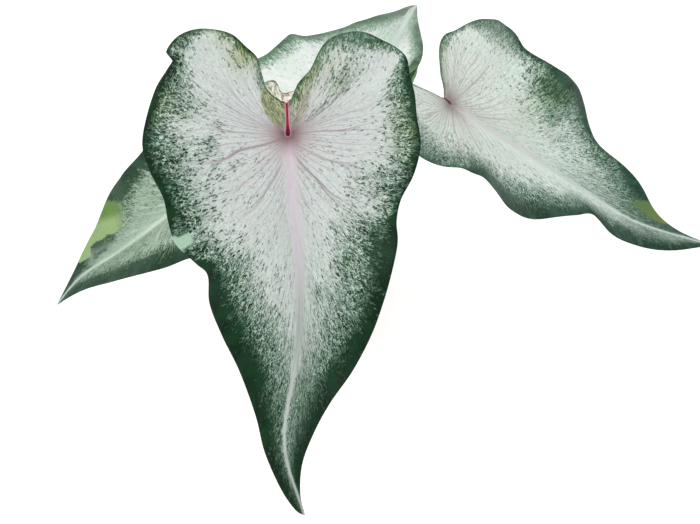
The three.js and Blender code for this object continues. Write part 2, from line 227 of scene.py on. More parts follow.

# A leaf is bent by a fold, an arch and waves, and its stalk leaves the tuber at "crown". An edge runs from the
# foot of the notch round one lobe to the tip. A wave is [side, height, pitch, place of a crest along the midrib].
# A margin row is [share of the way along the edge, width of the solid green band, how far flecks fade out inside
# it, how dark they are], and "least" is the cover in the middle, near the stalk and near the tip. A sector is
# [side, share of the way along the edge, width, change of cover], a cluster or a young spot is [x, y, radius,
# strength], a wedge is a strength and the outline it fills, and a blotch is an outline, the run along which its
# tone changes and the one along which it fades.
# On the back leaf the blotch is painted shade in the curled cup at its margin, paler towards the rim.
FRONT = {
    "rows": 270, "columns": 80, "joint": (4, -188, 370), "tip": (13, -339, 223), "roll": -2, "fold": 9,
    "arch": 14, "half_width": 75, "crown": (0, -9), "splay": 0.62, "upturn": 0.2, "least": (0.05, 0.38),
    "waves": [(-1, 6, 92, 28), (1, 6, 84, 72)],
    "spine": [
        (-17, 0), (-13, 0), (-10, 0), (-8, 0), (-5, 0), (-3, 0), (0, 0), (3, 0), (10, 0), (22, 0.5), (38, 1.5),
        (62, 3), (112, 1.5), (168, -9.3), (211, 0),
    ],
    "low": [
        (-17, 0), (-21, -7), (-29, -13), (-42, -15), (-50, -22), (-57, -29.5), (-60, -40), (-60, -50), (-56, -59),
        (-48, -65), (-44, -61.5), (-38, -65), (-28, -71.5), (-12, -77), (3, -79), (17, -75), (32, -68), (45, -66),
        (57, -63), (68, -53), (75, -46.5), (90, -46), (107, -40), (127, -31.5), (153, -24), (174, -20),
        (194, -12.5), (207, -5), (211, 0),
    ],
    "high": [
        (-17, 0), (-20, 3), (-28, 7), (-35.5, 14), (-45, 19), (-52, 25), (-55, 34), (-55, 44), (-50, 54),
        (-45, 62), (-39, 67), (-30, 68), (-18, 70), (-6, 70.5), (6, 72), (15, 71), (26.5, 67), (38.5, 60),
        (50, 57), (61, 57), (74, 54), (92, 48.5), (111, 41), (130, 30), (147, 17), (163, 7.5), (181, 0),
        (198, -2), (211, 0),
    ],
    "low_margin": [
        (0, 0.5, 1.2, 1), (0.05, 0, 4, 0.9), (0.1, 0, 8, 0.7), (0.13, 2, 8, 0.9), (0.17, 1, 10, 0.8),
        (0.22, 0, 4, 0.7), (0.28, 1, 12, 0.9), (0.34, 1, 6, 1), (0.38, 3.5, 15, 1), (0.42, 4.5, 20, 1),
        (0.46, 4, 23, 1), (0.5, 3.5, 33, 1), (0.535, 4.5, 41, 1), (0.59, 4.2, 34, 1), (0.63, 0.8, 41, 1),
        (0.67, 1, 34, 1), (0.7, 5.3, 34, 1), (0.73, 9.3, 30, 1), (0.76, 11, 31, 1), (0.79, 12.2, 30, 1),
        (0.82, 12.2, 28, 1), (0.85, 9.5, 30, 1), (0.88, 7.5, 24, 1), (0.91, 6.5, 14, 1), (0.94, 4.5, 8, 1),
        (1, 1, 4, 1),
    ],
    "high_margin": [
        (0, 0.4, 4, 1), (0.05, 0.4, 10, 1), (0.13, 0.2, 9, 0.7), (0.17, 0.4, 10, 0.65), (0.22, 0.2, 14, 0.6),
        (0.28, 0.5, 8, 0.7), (0.34, 0.8, 5, 0.8), (0.38, 3.5, 14, 0.9), (0.42, 3, 20, 1), (0.5, 3, 25, 1),
        (0.57, 2.8, 25, 1), (0.6, 1, 37, 1), (0.63, 1.5, 38, 1), (0.67, 7.5, 38, 1), (0.71, 10, 38, 1),
        (0.76, 8.5, 38, 1), (0.79, 9, 34, 1), (0.82, 10.5, 26, 1), (0.85, 12, 18, 1), (0.88, 8.5, 26, 1),
        (0.91, 6.5, 18, 1), (0.94, 5, 6, 1), (1, 1, 3, 1),
    ],
    "sectors": [
        (1, 0.34, 0.035, -0.3), (1, 0.26, 0.045, 0.3), (-1, 0.2, 0.08, -0.12), (1, 0.56, 0.02, 0.12),
        (-1, 0.57, 0.02, 0.1), (1, 0.44, 0.02, -0.08), (-1, 0.47, 0.015, -0.12),
    ],
    "clusters": [
        (4, -42, 6, 0.35), (-8, -38, 5, 0.25), (-10, -58, 6, 0.2), (-14, -49, 9, 0.2), (26, -51, 11, -0.25),
        (61, -34, 6, -0.2), (-51, 47, 5, 0.2), (-30, 32, 5, 0.2), (-6, 50, 8, 0.2), (42, 46, 9, -0.35),
        (56, 46, 6, 0.25), (52, 23, 8, 0.18), (71, 28, 4, 0.3), (16, -31, 3, 0.3), (87, 13, 4, 0.3),
        (19, 56, 8, -0.2), (-2, 57, 6, -0.12), (-52, -53, 6, 0.25), (-22, -50, 9, 0.2), (45, -58, 5, 0.2),
        (78, -8, 6, 0.2),
    ],
    "young": [
        (-34, 16, 8, 0.4), (-37, 27, 10, 0.35), (-27, 27, 8, 0.25), (-46, -22, 9, 0.9), (-55, -33, 7, 0.5),
        (2, 66, 12, 0.3), (-12, 64, 8, 0.25), (-20, -70, 11, 0.25),
    ],
    "wedges": [
        (1.0, [(0, -0.5), (-5, -6.8), (-12, -12), (-19, -14), (-26, -13.6), (-23, -8), (-17, 0)]),
        (0.6, [(0, 0.8), (-3, 5), (-9, 9.7), (-17, 12.5), (-28, 15), (-38, 20), (-37, 13), (-24, 5), (-17, 0)]),
    ],
    "blotch": [
        (53, -66), (53.5, -60), (52, -56), (54.5, -53), (57.5, -53.5), (58.5, -55.5), (61.5, -60), (60.5, -62),
        (58.5, -66),
    ],
    "blotch_and_cup_shade_run": [(53, -60), (60, -60)],
}
RIGHT = {
    "rows": 200, "columns": 60, "joint": (98.5, -92, 302), "tip": (271, -108.5, 193), "roll": -4, "fold": 13,
    "arch": -14, "half_width": 75, "crown": (9.5, 1), "splay": 0.85, "upturn": 1.5, "least": (0.08, 0.66),
    "waves": [(1, 6, 72, 74), (-1, 6, 92, 24)],
    "spine": [
        (-5, 0), (-4, 0), (-3, 0), (-2, 0), (-1, 0), (0, 0), (3, 0), (10, 0.5), (22, 2), (38, 3.5), (58, 5),
        (82, 4.5), (112, 1.5), (152, -4), (205, 0),
    ],
    "low": [
        (-5, 0), (-9, -2), (-16, -4.5), (-23, -8), (-31, -12), (-39, -17), (-46, -24), (-50, -32), (-51, -41),
        (-49, -50), (-44, -58), (-37, -64), (-28, -68), (-16, -66), (-4, -62), (8, -55), (17, -53.5), (25.5, -51),
        (34, -55), (44, -58.5), (57.5, -53.5), (73, -46.5), (89, -36), (102.5, -27), (117, -17), (129, -28),
        (147.5, -24.5), (178, -15), (205, 0),
    ],
    "high": [
        (-5, 0), (-7, 7), (-11, 12), (-14, 18), (-17, 25), (-18, 32), (-16, 39), (-10.5, 45), (-6, 51),
        (-1.5, 56.5), (4, 62), (12, 68.5), (22, 77.5), (33, 85), (41, 84.5), (49, 76.5), (60.5, 70.5), (71, 67),
        (81, 67), (92.5, 68.5), (101, 64), (109, 53), (118, 41.5), (131.5, 31.5), (146.5, 21), (161, 10),
        (175, 3.5), (189, 0.5), (205, 0),
    ],
    "low_margin": [
        (0, 0, 1.2, 0.6), (0.12, 0.2, 2, 0.6), (0.17, 0.5, 3, 0.7), (0.22, 0.5, 24, 0.7), (0.3, 1.5, 32, 0.8),
        (0.42, 1.5, 38, 0.9), (0.5, 0.2, 38, 0.9), (0.54, 0.5, 30, 0.9), (0.58, 7, 24, 1), (0.62, 10.5, 23, 1),
        (0.7, 12.5, 28, 1), (0.74, 11.5, 28, 1), (0.78, 9, 26, 1), (0.82, 6, 15, 1), (0.86, 3, 22, 1),
        (0.9, 13, 12, 1), (0.94, 9, 25, 1), (1, 3, 5, 1),
    ],
    "high_margin": [
        (0, 0, 1.5, 0.6), (0.15, 0.2, 4, 0.7), (0.2, 1, 8, 0.7), (0.25, 0.5, 2.5, 0.7), (0.31, 0.2, 4, 0.7),
        (0.35, 0.2, 12, 0.8), (0.4, 0.5, 20, 0.8), (0.46, 2.5, 21, 0.9), (0.54, 2, 22, 1), (0.58, 1, 44, 1),
        (0.62, 7.5, 42, 1), (0.66, 10.5, 31, 1), (0.7, 11, 20, 1), (0.74, 5.5, 28, 1), (0.78, 1, 17, 1),
        (0.82, 1.2, 15, 1), (0.86, 8, 13, 1), (0.9, 3, 42, 1), (0.95, 2, 18, 1), (1, 2, 8, 1),
    ],
    "clusters": [
        (76, 56, 9, 0.4), (67, 51, 7, 0.2), (75, 37, 4, 0.3), (84, 31, 7, 0.2), (50, 64, 12, -0.3),
        (-30, -40, 10, 0.25), (-2, -42, 9, -0.2), (14, -14, 10, -0.15), (22, -30, 10, -0.12),
    ],
    "young": [(72, 54, 14, 0.5), (60, 34, 14, 0.4), (30, 70, 12, 0.25), (-16, 30, 6, 0.5)],
    "wedges": [
        (0.35, [(0, 0.5), (-1, 7), (-5, 14), (-12, 30), (-19, 30), (-12, 12), (-5, 0)]),
    ],
    "blotch": [
        (146, 9), (149, 11), (152, 12), (157, 13), (168, 11), (176, 7), (172, 4), (168, 2.5), (160, 3),
        (152, 4.5), (147, 6.5), (144.5, 8),
    ],
    "blotch_and_cup_shade_run": [(148, 8), (168, 6)],
}
LEFT = {
    "rows": 180, "columns": 56, "joint": (-41, -118.5, 264.5), "tip": (-154.5, -110.5, 137), "roll": 32,
    "fold": 14, "arch": 10, "half_width": 52, "crown": (-9.5, 1), "splay": 0.6, "upturn": 0.4,
    "least": (0.25, 0.35),
    "waves": [(-1, 5, 95, 40), (1, 5, 88, 80)],
    "spine": [
        (-13, 0), (-10, 0), (-8, 0), (-6, 0), (-4, 0), (-2, 0), (0, 0), (3, 0), (9, 0), (20, 1), (38, 2), (60, 3),
        (92, 2.5), (132, -1.5), (171, 0),
    ],
    "low": [
        (-13, 0), (-22, -8), (-33, -14), (-40, -23), (-41, -34), (-35, -43), (-20, -49), (0, -50), (20, -45),
        (39.5, -37), (61.5, -34.5), (84, -32.5), (106, -19), (135.5, -8.5), (171, 0),
    ],
    "high": [
        (-13, 0), (-22, 8), (-32, 15), (-38, 24), (-38, 34), (-31, 42), (-17, 47), (2, 47), (20, 42), (38, 36),
        (56, 33), (77, 27), (101.5, 18.5), (134, 7.5), (171, 0),
    ],
    "low_margin": [
        (0, 0, 3, 1), (0.3, 2, 14, 1), (0.6, 6, 9, 1), (0.66, 7.5, 7, 1), (0.7, 9.2, 6, 1), (0.75, 11, 18, 1),
        (0.785, 6, 28, 1), (0.82, 1.5, 34, 1), (0.86, 2, 36, 1), (0.9, 8, 22, 1), (0.95, 7, 6, 1), (1, 1, 3, 1),
    ],
    "high_margin": [
        (0, 0, 3, 1), (0.3, 3, 10, 1), (0.62, 9, 7, 1), (0.7, 11, 6, 1), (0.78, 9.3, 6, 1), (0.86, 6.6, 5, 1),
        (0.95, 4.6, 4, 1), (1, 1, 3, 1),
    ],
    "sectors": [(-1, 0.62, 0.06, 0.2), (-1, 0.45, 0.04, 0.15), (1, 0.6, 0.06, -0.12)],
    "clusters": [
        (105, -12.5, 5, 0.9), (101, -8, 4, 0.7), (93, -8, 4, 0.5), (113, -9.5, 5, 0.9), (122, -6, 5, 0.9),
        (54, 5, 9, -0.2),
    ],
    "young": [(84, -20, 10, 0.3)],
    "blotch": [
        (86, -36), (85.5, -30.5), (77, -25), (70.4, -20.8), (64, -14), (74, -9), (86, -9), (91.2, -9.5),
        (96, -11.5), (101, -11), (107, -12.5), (113.2, -12), (115.5, -9), (116.1, -7.2), (122.8, -8), (129.2, -9),
        (132, -16), (106, -26),
    ],
    "blotch_and_cup_shade_run": [(88, -22), (89.5, -17.5)],
    "blotch_fade": [(83, -19.5), (72, -14)],
}
BACK = {
    "rows": 180, "columns": 56, "joint": (35, -65, 265.5), "tip": (84.5, 111, 202), "roll": 0, "fold": 12,
    "arch": 12, "half_width": 75, "crown": (0, 10.5), "splay": 0.1, "upturn": 0.2, "least": (0.02, 0.3),
    "waves": [(-1, 5, 80, 96), (1, 4, 84, 40)],
    "spine": [
        (-14, 0), (-11, 0), (-8, 0), (-6, 0), (-4, 0), (-2, 0), (0, 0), (4, -1), (12, -2), (28, -3), (50, -5),
        (72, -7), (104, -6), (148, -4), (197, 0),
    ],
    "low": [
        (-14, 0), (-22, -7), (-33, -12), (-40, -20), (-41, -30), (-33, -38), (-17, -42), (4, -40), (26, -34),
        (47, -27), (65.5, -30.5), (86, -28.5), (118.5, -19.5), (156, -9), (197, 0),
    ],
    "high": [
        (-14, 0), (-19, 4), (-25, 8), (-31, 13), (-37, 20), (-42, 28), (-44, 37), (-43, 45), (-38, 53), (-31, 59),
        (-22, 64), (-12, 67), (-2, 69), (8, 68), (18, 66), (26.5, 60.5), (36.5, 57), (47, 55), (59, 53.5),
        (64, 47), (74, 42), (85, 35.5), (96, 28), (106, 23.5), (119, 17.5), (140, 12), (161, 7.5), (180, 4.5),
        (197, 0),
    ],
    "low_margin": [
        (0, 0, 3, 1), (0.3, 0.5, 12, 1), (0.65, 0.5, 8, 1), (0.72, 5, 5, 1), (0.78, 3, 10, 1), (0.82, 4.5, 6, 1),
        (0.88, 4, 6, 1), (0.905, 0.2, 9, 1), (0.95, 0.3, 6, 1), (1, 1, 3, 1),
    ],
    "high_margin": [
        (0, 0, 3, 1), (0.3, 1, 12, 1), (0.5, 1.5, 10, 1), (0.6, 3.2, 11, 1), (0.66, 5.5, 8, 1), (0.7, 4.8, 8, 1),
        (0.74, 2.3, 9, 1), (0.79, 2.4, 10, 1), (0.84, 3.8, 13, 1), (0.88, 6.5, 8, 1), (0.93, 8.5, 6, 1),
        (1, 2, 4, 1),
    ],
    "sectors": [(1, 0.72, 0.08, 0.2), (-1, 0.75, 0.05, -0.15)],
    # This blotch is painted shade: the curled cup at the margin, dark green in its hollow and paler towards the rim.
    "blotch": [
        (51, -34), (51, -29), (54, -27), (58, -25), (62, -24.8), (66, -25), (70, -25.8), (71.5, -27), (70.5, -29),
        (68, -34),
    ],
    "blotch_and_cup_shade_run": [(64, -26), (60, -31)],
}
LEAVES = {"front": FRONT, "right": RIGHT, "left": LEFT, "back": BACK}


# ---- colours and node trees ----

def srgb(red, green, blue):
    """A colour given from 0 to 255 as it looks on a screen, as the linear colour that a shader takes."""
    linear = [((c / 255 + 0.055) / 1.055) ** 2.4 if c > 10 else c / 255 / 12.92 for c in (red, green, blue)]
    return (*linear, 1.0)


def by_node(operation):
    return lambda self, *others: self.shading.math(operation, self, *others)


class Number:
    """A number that shader nodes work out. Arithmetic on it adds a node."""

    def __init__(self, shading, socket):
        self.shading = shading
        self.socket = socket

    def __rsub__(self, other):
        return self.shading.math("SUBTRACT", other, self)

    __add__, __sub__, __mul__, __truediv__ = map(by_node, ("ADD", "SUBTRACT", "MULTIPLY", "DIVIDE"))
    __abs__, __round__, fraction, at_least = map(by_node, ("ABSOLUTE", "ROUND", "FRACT", "MAXIMUM"))


class Shading:
    """One material. Each method adds nodes and returns what they work out."""

    def __init__(self, name):
        self.material = bpy.data.materials.new(name)
        self.material.use_nodes = True
        self.tree = self.material.node_tree
        self.tree.nodes.clear()

    def node(self, kind, inputs, **settings):
        node = self.tree.nodes.new(kind)
        for key, value in settings.items():
            setattr(node, key, value)
        for key, value in inputs.items():
            if isinstance(value, Number):
                value = value.socket
            if isinstance(value, bpy.types.NodeSocket):
                self.tree.links.new(value, node.inputs[key])
            else:
                node.inputs[key].default_value = value
        return node

    def output(self, key, kind, inputs, **settings):
        socket = self.node(kind, inputs, **settings).outputs[key]
        return Number(self, socket) if socket.type == "VALUE" else socket

    def vector(self, name):
        return self.output("Vector", "ShaderNodeAttribute", {}, attribute_name=name)

    def number(self, name):
        return self.output("Fac", "ShaderNodeAttribute", {}, attribute_name=name)

    def parts(self, vector, kind="ShaderNodeSeparateXYZ"):
        return [Number(self, socket) for socket in self.node(kind, {0: vector}).outputs]

    def place(self):
        return self.output("Object", "ShaderNodeTexCoord", {})

    def millimetres(self):
        return self.scaled(self.place(), (1000, 1000, 1000))

    def math(self, operation, a, b=0):
        return self.output(0, "ShaderNodeMath", {0: a, 1: b}, operation=operation)

    def scaled(self, vector, scale):
        return self.output(0, "ShaderNodeVectorMath", {0: vector, 1: scale}, operation="MULTIPLY")

    def shifted(self, vector, by):
        return self.output(0, "ShaderNodeVectorMath", {0: vector, 1: by}, operation="ADD")

    def step(self, value, start, end, low=0, high=1):
        """A smooth step from low, where value is at start or before, to high, where it is at end or past."""
        inputs = {"Value": value, "From Min": start, "From Max": end, "To Min": low, "To Max": high}
        return self.output("Result", "ShaderNodeMapRange", inputs, interpolation_type="SMOOTHSTEP")

    def bell(self, value, width):
        """1 where value is 0, falling to about a third where it is width."""
        share = value / width
        return self.math("EXPONENT", share * share * -1)

    def noise(self, vector, scale, detail=2, roughness=0.5, along=1, key="Fac"):
        """Noise whose grains are drawn out along x where along is under 1."""
        if along != 1:
            vector = self.scaled(vector, (along, 1, 1))
        inputs = {"Vector": vector, "Scale": scale, "Detail": detail, "Roughness": roughness}
        return self.output(key, "ShaderNodeTexNoise", inputs)

    def cells(self, vector, scale):
        """(two random numbers for each cell, distance from the cell's border)."""
        inputs = {"Vector": vector, "Scale": scale}
        colour = self.output("Color", "ShaderNodeTexVoronoi", inputs, feature="F1")
        first, second, _ = self.parts(colour, "ShaderNodeSeparateColor")
        return first, second, self.output("Distance", "ShaderNodeTexVoronoi", inputs, feature="DISTANCE_TO_EDGE")

    def mix(self, share, *colours):
        """The first colour where share is 0 and the second where it is 1: outputs, or numbers from 0 to 255."""
        a, b = (c if isinstance(c, bpy.types.NodeSocket) else srgb(*c) for c in colours)
        return self.output(2, "ShaderNodeMix", {0: share, 6: a, 7: b}, data_type="RGBA")

    def layered(self, colour, *layers):
        """The colour under layers of (share, tint), laid on one by one."""
        for share, tint in layers:
            colour = self.mix(share, colour, tint)
        return colour

    def finish(self, colour, roughness, height, depth, gloss, fixed=None):
        """Ends the tree: fixed holds more shader sockets that are the same all over."""
        bump = self.node("ShaderNodeBump", {"Height": height, "Strength": 1, "Distance": depth}).outputs[0]
        inputs = {"Base Color": colour, "Roughness": roughness, "Normal": bump, "Specular IOR Level": gloss}
        surface = self.node("ShaderNodeBsdfPrincipled", {**inputs, **(fixed or {})})
        self.node("ShaderNodeOutputMaterial", {"Surface": surface.outputs[0]})
        return self.material


LEAF_NUMBERS = ("cover", "depth", "clear", "young", "blotch", "blotch_and_cup_shade_turn")


def blade_material(name, look, under=False):
    """A white-ground leaf: a pale curly net of small veins, whose cells turn green one by one towards the margin."""
    s = Shading(name)
    flow = s.vector("flow")
    half = s.parts(flow)[2]
    midrib, joint, notch = s.parts(s.vector("reach"))
    phase, spacing, outward = s.parts(s.vector("vein"))
    cover, depth, clear, young, blotch, blotch_and_cup_shade_turn = map(s.number, LEAF_NUMBERS)

    warp = s.noise(flow, 0.8, key="Color")
    bent = s.shifted(flow, s.scaled(s.shifted(warp, (-0.5, -0.5, -0.5)), (1.8, 1.8, 0)))
    patch = s.noise(flow, 0.1, 3, 0.6, along=0.4)
    cluster = s.noise(bent, 0.45, along=0.5)
    chance, shade, cell_edge = s.cells(s.scaled(bent, (0.4, 1, 1)), 1.2)
    fibre = s.noise(bent, 1.6, 2, 0.6, along=0.24)
    from_curl = abs(s.noise(bent, 0.85, 1.5, along=0.36) - 0.5)
    from_branch = abs(s.noise(bent, 0.33, along=0.35) - 0.5)
    sector = s.noise(s.output(0, "ShaderNodeCombineXYZ", {0: phase, 1: outward, 2: half}), 0.9, 1)

    # How many cells are green here: more of them towards the margin, in patches, and fewer on the net.
    swing = cover * (1 - cover) * 3
    drift = patch + cluster * 0.7 - 0.85
    solid = s.step(cover + (fibre + patch - 1) * 1.2, 0.98, 1.2) * (1 - blotch)
    open_tissue = 1 - solid
    green = cover + drift * (swing.at_least(0) + 0.2) + solid
    chance = chance + (fibre - 0.5) * 0.7 + (0.1 - from_curl) * 2
    fleck = s.step(green - chance, -look.soft, look.soft)

    # The ground is palest in the middle and in some sectors, and takes a green haze where flecks are dense.
    ground = s.layered(
        look.centre,
        (s.step(joint, 20, 85), look.ground),
        (s.step(sector, 0.4, 0.62) * s.step(cover, 0.2, 0.6, 0.7, 0), look.centre),
        (s.step(s.noise(bent, 1.2, 3, 0.75, along=0.4), 0.42, 0.7, 0, look.frost), look.pale),
        (clear * 0.6, look.pale),
        (s.step(green + cover, 0.3, 1.6), look.haze),
        (young, look.young_pale),
    )
    band = s.mix(s.step(patch, 0.4, 0.65), look.deep, look.band)
    darkness = s.step(cover + cluster * 0.6, 0.2, 0.75) * depth * s.step(shade, 0.5, 1, 1, 0.7)
    deep = s.layered(look.fleck, (darkness.at_least(solid), band), (young * open_tissue, look.young_green))

    # The net: curly where cells are dense, in straighter fibres elsewhere.
    pale = s.layered(
        look.pale,
        (s.step(cover, 0.2, 0.9), look.mint),
        (s.step(cover, 0.88, 1.08, 0, 0.8), look.fleck),
        (young * 0.5, look.young_pale),
    )
    line = s.step(from_curl, 0.01, 0.04, 1, 0) * s.step(cover, 0.08, 0.45, 0.15, 1)
    line = line * s.step(cover, 0.85, 1.05, 1, 0.5)
    branch = s.step(from_branch, 0.004, 0.018, 1, 0) * s.step(cover, 0.7, 1, 0.5, 0)
    streak = s.step(fibre, 0.55, 0.66) * s.step(cover, 0.2, 0.9, 0.3 + 0.35 * look.frost, 0.3)
    net = s.step(cell_edge, 0.02, 0.16, 0.3, 0) * s.step(cover, 0.3, 0.8, 1, 0.1) * open_tissue
    low_side = s.bell(midrib - 3, 6) * s.step(half, -1, 1, 1, 0) * s.step(fibre, 0.35, 0.6, 0.35, 1)
    low_side = low_side * s.step(joint, 6, 25, 0, look.white_side) * s.step(joint, 110, 160, 1, 0.3)

    # Main veins: thin lines that fork on their way out, tinted near the stalk and pale further off.
    number = round(phase)
    luck = (number * 0.618).fraction()
    other_luck = ((number + half) * 0.382).fraction()
    fork = (outward - (luck * 0.3 + 0.25)).at_least(0) * 0.5
    from_vein = abs(abs(phase - number) - fork)
    fan_reach, fan_strength = look.fan
    fan = (outward, fan_reach, fan_reach + 0.6)
    vein = s.bell(from_vein * spacing, s.step(joint, 8, 50, 0.6, 0.4)) * (other_luck * 0.75 + 0.15)
    vein = vein * s.step(*fan, 1, 0) * s.step(joint, 30, 80, 1, 0.6)
    thin = phase * 3
    thin = s.bell(abs(thin - round(thin)) * (spacing / 3), 0.22)
    thin = thin * s.step(*fan, fan_strength, 0) * s.step(fibre, 0.4, 0.6, 0.3, 1)
    beside = s.step(midrib, 1.5, 6, 0.25, 1).at_least(s.step(joint, 8, 20, 1, 0))
    vein = vein.at_least(thin) * beside * open_tissue
    rib = s.bell(midrib, s.step(joint, 30, 160, *look.rib_width)) * s.step(joint, 60, 180, 0.9, 0.6)

    colour = s.layered(
        ground,
        (fleck, deep),
        (line * open_tissue, pale),
        (branch * s.step(joint, 25, 55), look.pale),
        (streak * open_tissue, pale),
        (net, pale),
        (low_side * open_tissue, look.pale),
        (vein, s.mix(s.step(joint, 30, 80), look.vein, pale)),
        (rib, s.mix(s.step(joint, 55, 125), look.rib, look.far_rib)),
        (s.bell(midrib, 0.6) * s.step(joint, 60, 130, 0, 0.35), MIDRIB_LINE),
        (s.bell(joint, 14) * s.step(young, 0.2, 1, look.flush, 0), JOINT_PINK),
        (s.bell(joint, 7.5) * s.step(young, 0.2, 1, 1.9 * look.flush, 0.5), JOINT_BROWN),
        # Blotches; on the back leaf this layer is the painted shade of the curled cup at its margin.
        (blotch * s.step(fibre, 0.3, 0.7, 1, 0.85), s.mix(blotch_and_cup_shade_turn, look.blotch, look.blotch_end)),
    )
    if under:
        colour = s.mix(0.5, colour, UNDER_GREEN)
    else:
        drop = notch - s.bell(joint, 4) * 0.7
        crimson = s.bell(joint, 3.5) * (4 * look.flush ** 2)
        colour = s.layered(
            colour,
            (s.step(drop, 0.8, 1.7, 0.6, 0), NOTCH_PINK),
            (s.step(drop, 0.3, 1, 1, 0), s.mix(crimson, look.notch_line, DARK_CRIMSON)),
        )

    grain = s.noise(flow, 1.6)
    height = grain * 0.5 + net.at_least(vein * 0.8)
    roughness = grain * 0.15 + (0.5 if under else 0.38)
    return s.finish(colour, roughness, height, 0.0002, 0.13, {"Subsurface Weight": 0.1, "Subsurface Scale": 0.0008})


# ---- meshes ----

def add_mesh(name, corners, faces, *materials):
    """A piece from corners in millimetres."""
    mesh = bpy.data.meshes.new(name)
    mesh.from_pydata((np.asarray(corners) * MM).tolist(), [], faces)
    mesh.validate()
    piece = bpy.data.objects.new(name, mesh)
    bpy.context.scene.collection.objects.link(piece)
    for material in materials:
        mesh.materials.append(material)
    mesh.polygons.foreach_set("use_smooth", [True] * len(mesh.polygons))
    return piece


def add_attribute(piece, name, values):
    """Numbers or vectors on the corners, for the material to read."""
    values = np.asarray(values, np.float32)
    kind, key = ("FLOAT_VECTOR", "vector") if values.shape[-1] == 3 else ("FLOAT", "value")
    piece.data.attributes.new(name, kind, "POINT").data.foreach_set(key, values.ravel())


def install(piece, slot, *nodes):
    """Makes a piece part of the object, in place of these CAD nodes."""
    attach(piece, "root")
    if nodes:
        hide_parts(*nodes)


def ring_faces(rings):
    """Faces between closed rings of corner numbers. A ring may be one corner, repeated."""
    faces = []
    for low, high in zip(rings, rings[1:]):
        for i, j in enumerate([*range(1, len(low)), 0]):
            ring = [low[i], low[j], high[j], high[i]]
            faces.append([v for k, v in enumerate(ring) if v != ring[k - 1]])
    return faces


def unit(vector):
    return vector / np.linalg.norm(vector)


def lengths(path):
    """How far each point is along the path."""
    return np.concatenate([[0], np.cumsum(np.hypot.reduce(np.diff(path, axis=0), axis=1))])


def resampled(path, measure, wanted):
    """Points of the path where a measure of its own points takes the wanted values."""
    return np.column_stack([np.interp(wanted, measure, numbers) for numbers in path.T])


def smooth(share):
    return share * share * (3 - 2 * share)


def bell(value, width):
    return np.exp(-(value / width) ** 2)


def smooth_curve(points, shares):
    """A Catmull-Rom curve through the points, at these shares of the way along it."""
    points = np.asarray(points, float)
    padded = np.vstack([2 * points[0] - points[1], points, 2 * points[-1] - points[-2]])
    place = np.asarray(shares) * (len(points) - 1)
    index = np.minimum(place.astype(int), len(points) - 2)
    t = (place - index)[:, None]
    before, here, following, after = (padded[index + i] for i in range(4))
    cubic = 3 * (here - following) + after - before
    square = 2 * before - 5 * here + 4 * following - after
    return here + 0.5 * t * (following - before + t * (square + t * cubic))


def distance_to(points, path):
    """(how far each point is from a path of straight steps, number of the nearest step)."""
    start, run = path[:-1], np.diff(path, axis=0)
    length = np.maximum((run ** 2).sum(axis=1), 1e-12)
    nearest = np.full(len(points), np.inf)
    place = np.zeros(len(points), int)
    for step, ((x, y), (dx, dy), size) in enumerate(zip(start, run, length)):
        away_x, away_y = points[:, 0] - x, points[:, 1] - y
        t = np.clip((away_x * dx + away_y * dy) / size, 0, 1)
        away = np.hypot(away_x - t * dx, away_y - t * dy)
        place[away < nearest] = step
        nearest = np.minimum(nearest, away)
    return nearest, place


def run_share(points, run):
    """How far each point is along a straight run: 0 at its start or before, 1 at its end or past it."""
    start, end = np.array(run, float)
    return np.clip((points - start) @ (end - start) / ((end - start) @ (end - start)), 0, 1)


def fill(points, outline, edge):
    """1 inside an outline and 0 outside it, with a smooth step of twice this width."""
    corners = np.array(outline + outline[:1], float)
    x, y = points.T
    inside = np.zeros(len(points), bool)
    for (x0, y0), (x1, y1) in zip(corners, corners[1:]):
        if y0 != y1:
            inside ^= ((y0 > y) != (y1 > y)) & (x < x0 + (x1 - x0) * (y - y0) / (y1 - y0))
    away = distance_to(points, corners)[0] * np.where(inside, 1, -1)
    return smooth(np.clip(0.5 + away / (2 * edge), 0, 1))


# ---- leaf blades ----

def face_height(leaf, x, y):
    """Height of the upper face over the leaf's own plane: a V fold, an arch and edge waves."""
    spine = np.array(leaf["spine"], float)
    along = x / spine[-1, 0]
    across = np.abs(y - np.interp(x, spine[:, 0], spine[:, 1]))
    narrowing = np.clip(1 - along, 0.06, 1) ** HALF_WIDTH_POWER
    reach = np.minimum(across / (leaf["half_width"] * narrowing), WAVE_REACH)
    height = math.tan(math.radians(leaf["fold"])) * (np.hypot(across, FOLD_ROUND) - FOLD_ROUND)
    height += 4 * leaf["arch"] * along * (1 - along)
    for side, size, pitch, crest in leaf["waves"]:
        wave = size * np.sqrt(narrowing) * reach ** 2 * np.cos(2 * math.pi * (x - crest) / pitch)
        height += np.where(y * side > 0, wave, 0)
    return height


def leaf_axes(leaf):
    """(origin, rows along, across and face) of the leaf's frame in the plant."""
    joint = np.array(leaf["joint"], float)
    along = unit(np.array(leaf["tip"]) - joint)
    up = np.array([0, 0, 1.0])
    up = unit(up - along * (up @ along))
    roll = -math.radians(leaf["roll"])
    face = up * math.cos(roll) + np.cross(along, up) * math.sin(roll)
    return joint, np.array([along, np.cross(face, along), face])


def in_plant(leaf, points):
    joint, axes = leaf_axes(leaf)
    return joint + points @ axes


